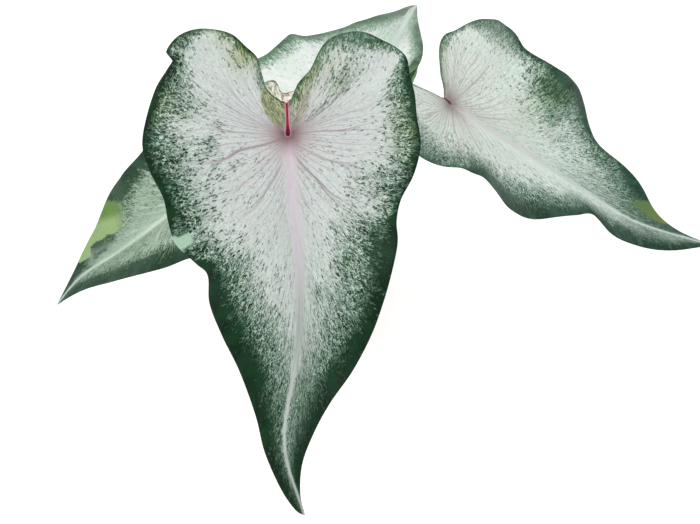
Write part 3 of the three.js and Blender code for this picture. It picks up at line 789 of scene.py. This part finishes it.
def blade_grid(leaf):
    """Where each row crosses the blade. A row is a vein's path: it leaves the midrib close to the stalk, runs
    beside it and bends out to the margin. Rows before FIRST_VEIN fill the wedge beside the notch."""
    length = leaf["spine"][-1][0]
    foot = leaf["spine"][0][0]
    fine = np.linspace(0, 1, ROW_POINTS)
    t = np.clip((fine - FIRST_VEIN) / (1 - FIRST_VEIN), 0, 1)
    start = np.where(fine < FIRST_VEIN, foot * (1 - fine / FIRST_VEIN), length * t ** START_POWER)
    middle = smooth_curve(leaf["spine"], fine)
    order = np.maximum.accumulate(middle[:, 0])
    starts = np.column_stack([start, np.interp(start, order, middle[:, 1])])
    low, high = (smooth_curve(leaf[key], fine) for key in ("low", "high"))

    # Rows are spread so that they are about evenly apart along midrib and margins.
    travelled = MIDRIB_WEIGHT * lengths(starts) + lengths(low) + lengths(high)
    shares = np.interp(np.linspace(0, travelled[-1], leaf["rows"] + 1), travelled, fine)
    shares[[0, -1]] = 0, 1
    start, low, high = (resampled(curve, fine, shares)[:, None, :] for curve in (starts, low, high))

    span = np.arange(-leaf["columns"], leaf["columns"] + 1)
    out = (np.abs(span) / leaf["columns"]) ** COLUMN_POWER
    side = np.where(span < 0, -1, 1)
    run = np.where(side[:, None] < 0, low, high) - start
    # A row that goes towards the tip runs beside the midrib first, and one for a lobe sets out sideways.
    bend = VEIN_BEND * np.tanh(run[:, :, 0] / BEND_REACH) * (2 * out * (1 - out))
    flat = start + run * out[:, None]
    flat[:, :, 0] += run[:, :, 0] * bend
    flat[:, :, 1] -= run[:, :, 1] * bend
    return shares, out, side, flat, np.linalg.norm(run, axis=2)


def blade_shell(top, bottom, flat):
    """(corners, faces, which faces are below) of the closed shell between the two faces. The first and the last
    row of the grid are single points, and a rounded rim runs along each edge between them."""
    rows, width = top.shape[0] - 1, top.shape[1]
    inner_rows = np.arange(1, rows)
    sheets = [np.dstack([flat, height]).reshape(-1, 3) for height in (top, bottom)]
    for column, neighbour in ((0, 1), (width - 1, width - 2)):
        edge = flat[inner_rows, column]
        tangent = flat[inner_rows + 1, column] - flat[inner_rows - 1, column]
        normal = np.column_stack([-tangent[:, 1], tangent[:, 0]])
        normal /= np.maximum(np.linalg.norm(normal, axis=1), 1e-6)[:, None]
        normal *= np.sign((normal * (edge - flat[inner_rows, neighbour])).sum(axis=1))[:, None]
        height = (top[inner_rows, column] + bottom[inner_rows, column]) / 2
        sheets.append(np.column_stack([edge + RIM_ROUND * normal, height]))

    count = (rows + 1) * width
    index = np.arange(count).reshape(rows + 1, width)
    index[[0, -1]] = index[[0, -1], width // 2][:, None]
    faces = []
    below = []

    def add_face(ring, is_below=0):
        faces.append([int(v) for i, v in enumerate(ring) if v != ring[i - 1]])
        below.append(is_below)

    for row in range(rows):
        for column in range(width - 1):
            ring = [*index[row:row + 2, column], *index[row:row + 2, column + 1][::-1]]
            add_face(ring)
            add_face([v + count for v in ring[::-1]], 1)
    for first, column, turn in ((2 * count - 1, 0, 1), (2 * count + rows - 2, width - 1, -1)):
        for row in range(rows):
            here, following = index[row:row + 2, column]
            near = [first + row] if row > 0 else []
            far = [first + row + 1] if row < rows - 1 else []
            add_face([here, *near, *far, following][::turn])
            add_face([here + count, *near, *far, following + count][::-turn])
            if not near:
                add_face([here, here + count, *far][::turn])
            if not far:
                add_face([following, following + count, *near][::-turn])
    return np.vstack(sheets), faces, below


def tissue_cover(leaf, row_share, side, margin, margin_share, midrib, joint):
    """(the share of the small cells that are green, how dark they are, and how clear of green a sector is). The
    share is over 1 in the margin's solid band."""
    length = leaf["spine"][-1][0]
    near, far = leaf["least"]
    least = near + (far - near) * smooth(np.clip((joint / length - 0.25) / 0.5, 0, 1))
    cover = np.zeros_like(margin)
    depth = np.ones_like(margin)
    for sign, key in ((-1, "low_margin"), (1, "high_margin")):
        place, *columns = np.array(leaf[key]).T
        band, fade, dark = (np.interp(np.abs(margin_share), place, column) for column in columns)
        inside = np.clip((margin - band) / fade, 0, 1)
        rise = np.clip((band - margin) / np.maximum(BAND_RISE, 0.7 * band), 0, 1)
        here = least + (1 - least) * (1 - inside) ** FADE_POWER + BAND_EXTRA * rise
        cover = np.where(margin_share * sign >= 0, here, cover)
        depth = np.where(margin_share * sign >= 0, dark, depth)
    sector = np.zeros_like(margin)
    for sign, share, width, change in leaf.get("sectors", []):
        sector += np.where(side == sign, change * bell(row_share - share, width), 0)
    sector *= np.clip(joint / SECTOR_START, 0, 1)
    cover = np.where(cover < LOOSE_COVER, np.clip(cover + sector, 0.02, LOOSE_COVER), cover)
    clear = 0.6 + 3.4 * np.clip(1 - joint / length, 0, 1) ** 1.5
    return cover * (1 - bell(midrib, clear)), depth, np.clip(-2.5 * sector, 0, 1)


def blade(number, name, leaf):
    shares, out, side, flat, chord = blade_grid(leaf)
    x, y = flat[:, :, 0], flat[:, :, 1]
    share, outward = np.broadcast_arrays(shares[:, None], out)
    edges = (0, len(out) - 1)

    places = np.linspace(0, 1, OUTLINE_POINTS)
    outline = np.vstack([smooth_curve(leaf["low"], places), smooth_curve(leaf["high"], places)[::-1]])
    outline_share = np.concatenate([-places, places[::-1]])
    midrib_path = smooth_curve(leaf["spine"], np.linspace(0, 1, MIDRIB_POINTS))
    spots = flat.reshape(-1, 2)
    margin, nearest = (values.reshape(x.shape) for values in distance_to(spots, outline))
    midrib = distance_to(spots, midrib_path[midrib_path[:, 0] >= 0])[0].reshape(x.shape)
    notch = distance_to(spots, np.array([leaf["spine"][0], (0, 0)], float))[0].reshape(x.shape)
    joint = np.hypot(x, y)

    # Relief: the blade is puffed up between veins, which are sunk above and stand out below.
    phase = VEINS_PER_SIDE * share + VEIN_SHIFT * np.sin(11 * share + side)
    phase += VEIN_SWAY * outward * np.sin(6 * outward + 27 * share + 2 * side)
    phase += VEIN_QUIVER * outward * np.sin(19 * outward + 61 * share)
    from_vein = np.abs(phase - np.round(phase))
    between = np.sin(math.pi * phase) ** 2
    fanned = np.clip(joint / RELIEF_START, 0, 1)
    top = face_height(leaf, x, y) + PUFF * fanned * between * np.sqrt(4 * outward * (1 - outward))
    top -= GROOVE_DEPTH * bell(midrib, GROOVE_WIDTH)
    ridge = MIDRIB_DEPTH * (1 - 0.8 * share) * bell(midrib, MIDRIB_WIDTH)
    ridge += VEIN_DEPTH * fanned * bell(from_vein, VEIN_WIDTH) * (1 - outward) ** 0.7
    bottom = top - BLADE_THICKNESS * (1 - EDGE_THINNING * outward ** 6) - ridge
    corners, faces, below = blade_shell(top, bottom, flat)

    # Only the corners that a face uses are kept.
    used, renumbered = np.unique(np.concatenate(faces), return_inverse=True)
    ends = np.cumsum([len(face) for face in faces])
    faces = [part.tolist() for part in np.split(renumbered, ends[:-1])]
    look = SimpleNamespace(**{key: row[number] for key, row in (TONES | TRAITS).items()})
    upper = blade_material(f"blade_{name}_upper", look)
    under = blade_material(f"blade_{name}_under", look, True)
    piece = add_mesh(f"blade_{name}", in_plant(leaf, corners[used]), faces, upper, under)
    piece.data.polygons.foreach_set("material_index", below)

    def add_fields(key, *values):
        """Numbers of the grid, repeated for the lower face and taken at the edges for the rims."""
        grid = np.dstack(values)
        face = grid.reshape(x.size, -1)
        add_attribute(piece, key, np.vstack([face, face, *(grid[1:-1, column] for column in edges)])[used])

    # What the material reads, in millimetres on the leaf.
    middle = (1 - GAUGE_SHARE) * flat[:, leaf["columns"]]
    travelled = sum(lengths(middle + GAUGE_SHARE * flat[:, column]) for column in edges) / 2
    step_length = np.gradient(travelled) / np.maximum(np.gradient(VEINS_PER_SIDE * shares), 1e-9)
    spacing = step_length[:, None] * np.clip(outward / GAUGE_SHARE, 0.04, 2)

    def spot(place_x, place_y, radius, strength):
        return strength * np.exp(-((x - place_x) ** 2 + (y - place_y) ** 2) / radius ** 2)

    young = np.zeros_like(x)
    for row in leaf.get("young", []):
        young = np.maximum(young, spot(*row))
    for strength, wedge in leaf.get("wedges", []):
        young = np.maximum(young, strength * fill(spots, wedge, WEDGE_EDGE).reshape(x.shape))
    # A blotch's outline; on the back leaf it marks the painted shade of the curled cup at the margin.
    blotch = fill(spots, leaf["blotch"], MARK_EDGE)
    if "blotch_fade" in leaf:
        blotch *= 1 - run_share(spots, leaf["blotch_fade"])
    blotch_and_cup_shade_turn = run_share(spots, leaf["blotch_and_cup_shade_run"])
    cover, depth, clear = tissue_cover(leaf, share, side, margin, outline_share[nearest], midrib, joint)
    for row in leaf.get("clusters", []):
        cover = np.where(cover < LOOSE_COVER, np.clip(cover + spot(*row), 0, DENSEST), cover)
    cover = np.maximum(cover, YOUNG_COVER * young)
    add_fields("flow", chord * outward * side, travelled[:, None] + 0 * x, 3 * side + 0 * x)
    add_fields("reach", midrib, joint, notch)
    add_fields("vein", phase, spacing, outward)
    for key, values in zip(LEAF_NUMBERS, (cover, depth, clear, young, blotch, blotch_and_cup_shade_turn)):
        add_fields(key, values.reshape(x.shape))
    install(piece, "blade", f"leaf_{name}")


# ---- thin skins: the papery rag in the front blade's notch and the hem under the back blade's cup ----

def skin(name, leaf, inner, outer, inner_height, outer_height, material):
    """A thin closed sheet between an inner and an outer line in a leaf's frame, read along and out."""
    out = np.linspace(0, 1, SKIN_ROWS + 1)[:, None]
    flat = inner * (1 - out[:, :, None]) + outer * out[:, :, None]
    height = inner_height * (1 - out) + outer_height(out, flat) * out
    top = np.dstack([flat, height]).reshape(-1, 3)
    bottom = top - (0, 0, SKIN_THICKNESS)
    count = len(top)
    index = np.arange(count).reshape(SKIN_ROWS + 1, SKIN_COLUMNS + 1).tolist()
    faces = []
    for near, far in zip(index, index[1:]):
        for column in range(SKIN_COLUMNS):
            ring = [near[column], near[column + 1], far[column + 1], far[column]]
            faces += [ring, [v + count for v in ring[::-1]]]
    border = [*index[0], *(row[-1] for row in index[1:]), *index[-1][-2::-1], *(row[0] for row in index[-2:0:-1])]
    for here, following in zip(border, border[1:] + border[:1]):
        faces.append([here, here + count, following + count, following])
    piece = add_mesh(name, in_plant(leaf, np.vstack([top, bottom])), faces, material)
    along = np.linspace(0, 1, SKIN_COLUMNS + 1)
    place = np.dstack([along + 0 * out, out + 0 * along, 0 * along * out]).reshape(-1, 3)
    add_attribute(piece, "flow", np.vstack([place, place]))
    install(piece, "blade")


def paper_material():
    """Dry skin: cream at one end, pinkish at the other, with khaki as painted shade in its folds, near-white painted
    highlights on them and a dark line along its brim.
    """
    s = Shading("paper")
    flow = s.vector("flow")
    along, out, _ = s.parts(flow)
    where = s.scaled(flow, (9, 3, 1))
    folds = s.noise(where, 1, 3, 0.6)
    colour = s.layered(
        (202, 206, 184),
        (s.step(along, 0.35, 0.65), (226, 214, 205)),
        # Painted shade: darker khaki where the fold noise is high.
        (s.step(folds, 0.5, 0.6, 0, 0.9), (132, 130, 100)),
        # Painted highlights: near-white where the fold noise is low.
        (s.step(folds, 0.46, 0.36, 0, 0.9), (244, 240, 232)),
        (s.step(out + s.noise(where, 2) * 0.1, 0.93, 1), (96, 96, 72)),
    )
    return s.finish(colour, 0.55, folds, 0.0006, 0.4)


def notch_rag(leaf):
    """A dry, crinkled strip of skin that hangs on at the foot of the notch, under the blade's edge."""
    shares = np.linspace(0, 1, SKIN_COLUMNS + 1)
    foot, brim = smooth_curve(RAG_FOOT, shares), smooth_curve(RAG_BRIM, shares)

    def crinkled(out, flat):
        crinkle = (np.sin(24 * shares + 2 * out) + 0.5 * np.sin(51 * shares - 5 * out + 1)) * (1.1 - 0.5 * shares)
        return face_height(leaf, flat[:, :, 0], flat[:, :, 1]) - BRIM_DEPTH + crinkle

    skin("notch_rag", leaf, foot, brim, face_height(leaf, *foot.T) - RAG_DEPTH, crinkled, paper_material())


def cup_hem(leaf):
    """The back blade's margin turned down under its cup. Its lower face is painted dark green as shade, paling to
    light green at its outer edge.
    """
    along, reach, drop = smooth_curve(HEM, np.linspace(0, 1, SKIN_COLUMNS + 1)).T
    edge = smooth_curve(leaf["low"], np.linspace(0, 1, HEM_POINTS))[HEM_POINTS // 2:]
    inner = np.column_stack([along, np.interp(along, *edge.T) + HEM_OVERLAP])
    height = face_height(leaf, *inner.T) - HEM_DEPTH
    s = Shading("hem")
    flow = s.vector("flow")
    grain = s.noise(s.scaled(flow, (20, 4, 1)), 1, 3)
    # Painted shade: dark green over most of the hem, paling to light green at its outer edge.
    colour = s.mix(s.step(s.parts(flow)[1] + grain, 0.9, 1.5), (34, 70, 26), (126, 156, 116))
    material = s.finish(colour, 0.5, grain, 0.0002, 0.13)
    outer = inner - np.column_stack([0 * reach, reach])
    skin("cup_hem", leaf, inner, outer, height, lambda out, flat: height - drop * out, material)


# ---- leaf stalks ----

def stalk_material(name):
    """Smooth fleshy skin: reddish at the foot and the neck, olive between, with long broken streaks."""
    s = Shading(name)
    flow = s.vector("flow")
    share = s.number("share")
    streaks = s.noise(flow, 0.9, 3, 0.6, along=0.06)
    colour = s.layered(
        (112, 84, 70),
        (s.step(share, 0.05, 0.5), (122, 132, 88)),
        (s.step(share, 0.75, 1), (172, 138, 132)),
        (s.step(streaks, 0.45, 0.68), (84, 70, 54)),
        (s.step(streaks, 0.42, 0.28), (164, 168, 132)),
    )
    grain = s.noise(flow, 2, along=0.2)
    fixed = {"Subsurface Weight": 0.1, "Subsurface Scale": 0.001}
    return s.finish(colour, grain * 0.2 + 0.3, grain, 0.00015, 0.45, fixed)


def stalk_path(leaf):
    """Evenly spaced points from the tuber's crown up to inside the blade, and how far along each one is."""
    joint, axes = leaf_axes(leaf)
    face = unit(np.array([-4 * leaf["arch"] / leaf["spine"][-1][0], 0, 1.0]) @ axes)
    start = np.array([*leaf["crown"], CROWN_TOP])
    end = joint - face * STALK_END
    span = np.linalg.norm(end - start)
    leaving = np.array([0, 0, 1]) + leaf["splay"] * unit((end - start) * (1, 1, 0))
    arriving = face + np.array([0, 0, leaf["upturn"]])
    low = start + unit(leaving) * STALK_RISE * span
    high = end - unit(arriving) * STALK_NECK * span
    t = np.linspace(0, 1, STALK_POINTS)[:, None]
    fine = (1 - t) ** 3 * start + 3 * t * (1 - t) ** 2 * low + 3 * t ** 2 * (1 - t) * high + t ** 3 * end
    fine = np.vstack([fine, joint - face * BLADE_THICKNESS])
    travelled = lengths(fine)
    even = np.linspace(0, travelled[-1], STALK_STEPS + 1)
    return resampled(fine, travelled, even), even


def stalk(name, leaf):
    path, travelled = stalk_path(leaf)
    length = travelled[-1]
    shares = travelled / length
    tangents = np.gradient(path, axis=0)
    tangents /= np.linalg.norm(tangents, axis=1)[:, None]
    across = np.cross(tangents[0], (0, 1, 0))
    turns = np.linspace(0, 2 * math.pi, STALK_SIDES, endpoint=False)
    corners = []
    for centre, tangent, share, passed in zip(path, tangents, shares, travelled):
        across = unit(across - tangent * (across @ tangent))
        radius = STALK_BASE_RADIUS + (STALK_TOP_RADIUS - STALK_BASE_RADIUS) * share
        radius += STALK_SHEATH * math.exp(-14 * share)
        radius += STALK_FLARE * math.exp(-(length - passed) / STALK_FLARE_RUN)
        wander = 0.02 * np.sin(3 * turns + 9 * share) + 0.025 * np.sin(7 * turns + 4 * share)
        around = np.cos(turns)[:, None] * across + np.sin(turns)[:, None] * np.cross(tangent, across)
        corners.append(centre + (radius * (1 + wander))[:, None] * around)
    rings = np.arange(len(path) * STALK_SIDES).reshape(len(path), STALK_SIDES).tolist()
    faces = ring_faces(rings) + [rings[0][::-1], rings[-1]]
    piece = add_mesh(f"stalk_{name}", np.vstack(corners), faces, stalk_material(f"stalk_{name}"))
    round_it = [np.tile(STREAK_RADIUS * wave(turns), len(path)) for wave in (np.cos, np.sin)]
    add_attribute(piece, "flow", np.column_stack([np.repeat(travelled, STALK_SIDES), *round_it]))
    add_attribute(piece, "share", np.repeat(shares, STALK_SIDES)[:, None])
    install(piece, "stalk", f"petiole_{name}")


# ---- tuber, soil and pot ----

def turned(profile, segments, wobble=None):
    """(corners, faces) of a profile of (radius, height) turned round the Z axis; its ends lie on the axis."""
    turns = np.linspace(0, 2 * math.pi, segments, endpoint=False)
    corners = []
    rings = []
    for radius, height in profile:
        if radius == 0:
            rings.append([len(corners)] * segments)
            corners.append((0, 0, height))
            continue
        rings.append([len(corners) + i for i in range(segments)])
        reach = radius + (wobble(turns, height) if wobble else 0)
        corners += [(x, y, height) for x, y in zip(reach * np.cos(turns), reach * np.sin(turns))]
    return np.array(corners, float), ring_faces(rings)


def rounded(corners, radius, steps=5):
    """The profile with each inner corner replaced by a curve."""
    corners = np.array(corners, float)
    profile = [corners[0]]
    for before, here, after in zip(corners, corners[1:], corners[2:]):
        back, on = before - here, after - here
        reach = min(radius, 0.45 * np.linalg.norm(back), 0.45 * np.linalg.norm(on))
        start, end = (here + unit(run) * reach for run in (back, on))
        profile += [(1 - t) ** 2 * start + 2 * t * (1 - t) * here + t ** 2 * end for t in np.linspace(0, 1, steps)]
    return [*profile, corners[-1]]


def subdivided(profile, step):
    """The profile with long runs cut into steps, so that it can carry relief."""
    fine = [profile[0]]
    for start, end in zip(profile, profile[1:]):
        parts = max(1, round(math.dist(start, end) / step))
        fine += [start + (end - start) * i / parts for i in range(1, parts + 1)]
    return fine


def tuber():
    s = Shading("cork")
    bark = s.noise(s.millimetres(), 0.3, 4, 0.6)
    colour = s.mix(s.step(bark, 0.3, 0.7), (74, 50, 34), (142, 106, 76))
    material = s.finish(colour, 0.85, bark, 0.0008, 0.25)
    half, crown = TUBER_HEIGHT / 2, CROWN_TOP - CROWN_DROP
    middle = CROWN_TOP - GAP - half
    angles = [math.radians(degrees) for degrees in range(-84, 60, 4)]
    profile = [(0, middle - half)]
    profile += [(TUBER_RADIUS * math.cos(angle), middle + half * math.sin(angle)) for angle in angles]
    profile += [(CROWN_RADIUS * share, crown) for share in (0.95, 0.6, 0.3, 0)]

    def scars(turns, height):
        return 0.5 * math.sin(height * 1.6) + 0.4 * np.sin(5 * turns + height / 3) - 0.5

    install(add_mesh("tuber_body", *turned(profile, TUBER_SEGMENTS, scars), material), "tuber", "tuber")


def pot_inner_radius(height):
    outer = POT_BASE_RADIUS + (POT_TOP_RADIUS - POT_RIM_STEP - POT_BASE_RADIUS) * height / POT_HEIGHT
    return outer - POT_WALL


def clay_material():
    """Fired clay: warm, mottled, with pale lime bloom where water dries out and darker specks of grit."""
    s = Shading("clay")
    where = s.millimetres()
    mottle = s.noise(where, 0.035, 5, 0.65)
    grit = s.noise(where, 1.4, 3, 0.7)
    rings = s.noise(s.scaled(where, (0.02, 0.02, 1)), 0.35, 3, 0.6)
    bloom = s.step(s.noise(where, 0.06, 4, 0.7), 0.5, 0.68) * s.step(s.parts(where)[2], 20, 95, 0.75, 0.2)
    colour = s.layered(
        (168, 92, 62),
        (s.step(mottle, 0.3, 0.7), (194, 118, 84)),
        (s.step(rings, 0.4, 0.7) * 0.35, (206, 140, 108)),
        (s.step(grit, 0.6, 0.75) * 0.4, (126, 70, 50)),
        (bloom, (222, 204, 188)),
    )
    return s.finish(colour, grit * 0.15 + 0.78, grit * 0.5 + rings, 0.0005, 0.25)


def pot():
    rim_bottom = POT_HEIGHT - POT_RIM_HEIGHT
    wall = [pot_inner_radius(height) + POT_WALL for height in (0, rim_bottom)]
    profile = [
        (0, 0), (wall[0], 0), (wall[1], rim_bottom), (wall[1] + POT_RIM_STEP, rim_bottom),
        (POT_TOP_RADIUS, POT_HEIGHT), (pot_inner_radius(POT_HEIGHT), POT_HEIGHT),
        (pot_inner_radius(POT_FLOOR), POT_FLOOR), (0, POT_FLOOR),
    ]

    def thrown(turns, height):
        return POT_WANDER * (np.sin(2 * turns + 1) * height / POT_HEIGHT + 0.6 * math.sin(height / 1.9))

    corners, faces = turned(subdivided(rounded(profile, POT_ROUND), POT_STEP), POT_SEGMENTS, thrown)
    piece = add_mesh("clay_pot", corners, faces, clay_material())
    low, high = -2, 2 * POT_FLOOR
    for hole in range(DRAIN_COUNT):
        angle = 2 * math.pi * hole / DRAIN_COUNT
        corners, faces = turned([(0, low), (DRAIN_RADIUS, low), (DRAIN_RADIUS, high), (0, high)], DRAIN_SEGMENTS)
        corners += (DRAIN_CIRCLE * math.cos(angle), DRAIN_CIRCLE * math.sin(angle), 0)
        drill = add_mesh(f"drill_{hole}", corners, faces)
        cut = piece.modifiers.new("hole", "BOOLEAN")
        cut.object = drill
        cut.operation = "DIFFERENCE"
        cut.solver = "EXACT"
        bpy.context.view_layer.update()
        solid = bpy.data.meshes.new_from_object(piece.evaluated_get(bpy.context.evaluated_depsgraph_get()))
        piece.modifiers.clear()
        piece.data = solid
        bpy.data.objects.remove(drill)
    install(piece, "clay", "pot")


def soil_height(x, y):
    radius = math.hypot(x, y) / POT_TOP_RADIUS
    ripple = math.sin(x / 7 + 1.3) * math.cos(y / 6.1) + 0.5 * math.sin((x + 2 * y) / 8.7)
    return SOIL_TOP - SOIL_MOUND * radius ** 2 + SOIL_RIPPLE * ripple


def earth_material(name, dark, light, rough=0.95):
    s = Shading(name)
    where = s.millimetres()
    crumb = s.noise(where, 0.45, 5, 0.7)
    damp = s.noise(where, 0.05, 3, 0.6)
    colour = s.layered(dark, (s.step(crumb, 0.35, 0.68), light), (s.step(damp, 0.45, 0.65) * 0.45, dark))
    return s.finish(colour, rough, crumb, 0.0012, 0.2)


def soil():
    wall = pot_inner_radius(SOIL_TOP - SOIL_MOUND) - SOIL_GAP
    foot = pot_inner_radius(POT_FLOOR) - SOIL_BEVEL - GAP
    base = POT_FLOOR + GAP
    profile = [(0, base), (foot, base), (foot + SOIL_BEVEL - GAP, base + SOIL_BEVEL)]
    profile += [(wall * ring / SOIL_RINGS, SOIL_TOP) for ring in range(SOIL_RINGS, -1, -1)]
    corners, faces = turned(profile, SOIL_SEGMENTS)
    for corner in corners[1 + 2 * SOIL_SEGMENTS:]:
        x, y = corner[:2]
        corner[2] = soil_height(x, y) + SOIL_CRUMB * noise.fractal(Vector((x, y, 0)) * 0.28, 0.9, 2.1, 4)
    corners[-1, 2] = soil_height(0, 0)
    install(add_mesh("soil_bed", corners, faces, earth_material("peat", (30, 20, 14), (84, 62, 46))), "soil", "soil")


def scatter(name, count, sizes, flatness, material):
    """Irregular grains lying on the soil, joined in one mesh."""
    mould = bpy.data.meshes.new("mould")
    shape = bmesh.new()
    bmesh.ops.create_icosphere(shape, subdivisions=2, radius=1)
    shape.to_mesh(mould)
    shape.free()
    ball = np.array([vertex.co[:] for vertex in mould.vertices])
    rings = [list(face.vertices) for face in mould.polygons]
    bpy.data.meshes.remove(mould)
    reach = pot_inner_radius(SOIL_TOP) - WALL_ROOM
    corners, faces = [], []
    stalk_feet = [stalk_path(leaf)[0][SOIL_STEP][:2] for leaf in LEAVES.values()]
    while len(faces) < count * len(rings):
        distance, turn = reach * math.sqrt(rng.random()), 2 * math.pi * rng.random()
        x, y = distance * math.cos(turn), distance * math.sin(turn)
        size = rng.uniform(*sizes)
        if min(math.dist((x, y), foot) for foot in stalk_feet) < STALK_ROOM + size:
            continue
        stretch = size * np.array([1, rng.uniform(0.6, 1), flatness * rng.uniform(0.7, 1.1)])
        seed = Vector(rng.uniform(0, 50, 3))
        bumps = [1 + GRAIN_BUMP * noise.noise(Vector(p) * 1.7 + seed) for p in ball]
        spin = rng.uniform(0, 2 * math.pi)
        tilt = rng.uniform(-0.5, 0.5)
        grain = ball * np.array(bumps)[:, None] * stretch
        grain = grain @ np.array(Matrix.Rotation(tilt, 3, "X") @ Matrix.Rotation(spin, 3, "Z"))
        faces += [[v + len(corners) for v in ring] for ring in rings]
        corners += (grain + (x, y, soil_height(x, y) + GRAIN_LIFT * size * flatness)).tolist()
    install(add_mesh(name, corners, faces, material), "soil")


# ---- the plant ----

for leaf_number, (leaf_name, leaf_data) in enumerate(LEAVES.items()):
    blade(leaf_number, leaf_name, leaf_data)
    stalk(leaf_name, leaf_data)
notch_rag(FRONT)
cup_hem(BACK)
tuber()
soil()
for grain_name, material_name, grain_count, grain_sizes, grain_flatness, *looks in GRAINS:
    scatter(grain_name, grain_count, grain_sizes, grain_flatness, earth_material(material_name, *looks))
pot()


# ---- floor, light and camera ----

def add_object(name, data):
    holder = bpy.data.objects.new(name, data)
    bpy.context.scene.collection.objects.link(holder)
    return holder


def floor():
    s = Shading("floor")
    colour = s.mix(s.noise(s.place(), 3), (205, 205, 205), (208, 208, 208))
    glow = {"Emission Color": (1, 1, 1, 1), "Emission Strength": FLOOR_GLOW}
    material = s.finish(colour, 0.9, s.noise(s.place(), 40), 0.0001, 0, glow)
    corners = [(x * FLOOR_REACH, y * FLOOR_REACH, 0) for x, y in ((-1, -1), (1, -1), (1, 1), (-1, 1))]
    add_mesh("floor", corners, [(0, 1, 2, 3)], material)


def studio():
    world = bpy.data.worlds.new("studio")
    world.use_nodes = True
    background = world.node_tree.nodes["Background"]
    background.inputs["Color"].default_value = (1, 1, 1, 1)
    background.inputs["Strength"].default_value = SKY_STRENGTH
    bpy.context.scene.world = world
    light = bpy.data.lights.new("key", "AREA")
    light.shape = "DISK"
    light.size = LAMP_SIZE
    light.energy = LAMP_POWER
    holder = add_object("key", light)
    holder.location = LAMP_PLACE
    holder.rotation_euler = (Vector(LAMP_TARGET) - Vector(LAMP_PLACE)).to_track_quat("-Z", "Y").to_euler()
    bpy.context.scene.view_settings.view_transform = "Standard"


def camera():
    data = bpy.data.cameras.new("camera")
    data.lens = CAMERA_LENS
    data.sensor_width = SENSOR_WIDTH
    holder = add_object("camera", data)
    holder.location = CAMERA_PLACE
    holder.rotation_euler = (math.radians(90 - CAMERA_ELEVATION), 0, 0)
    bpy.context.scene.camera = holder


floor()
studio()
camera()
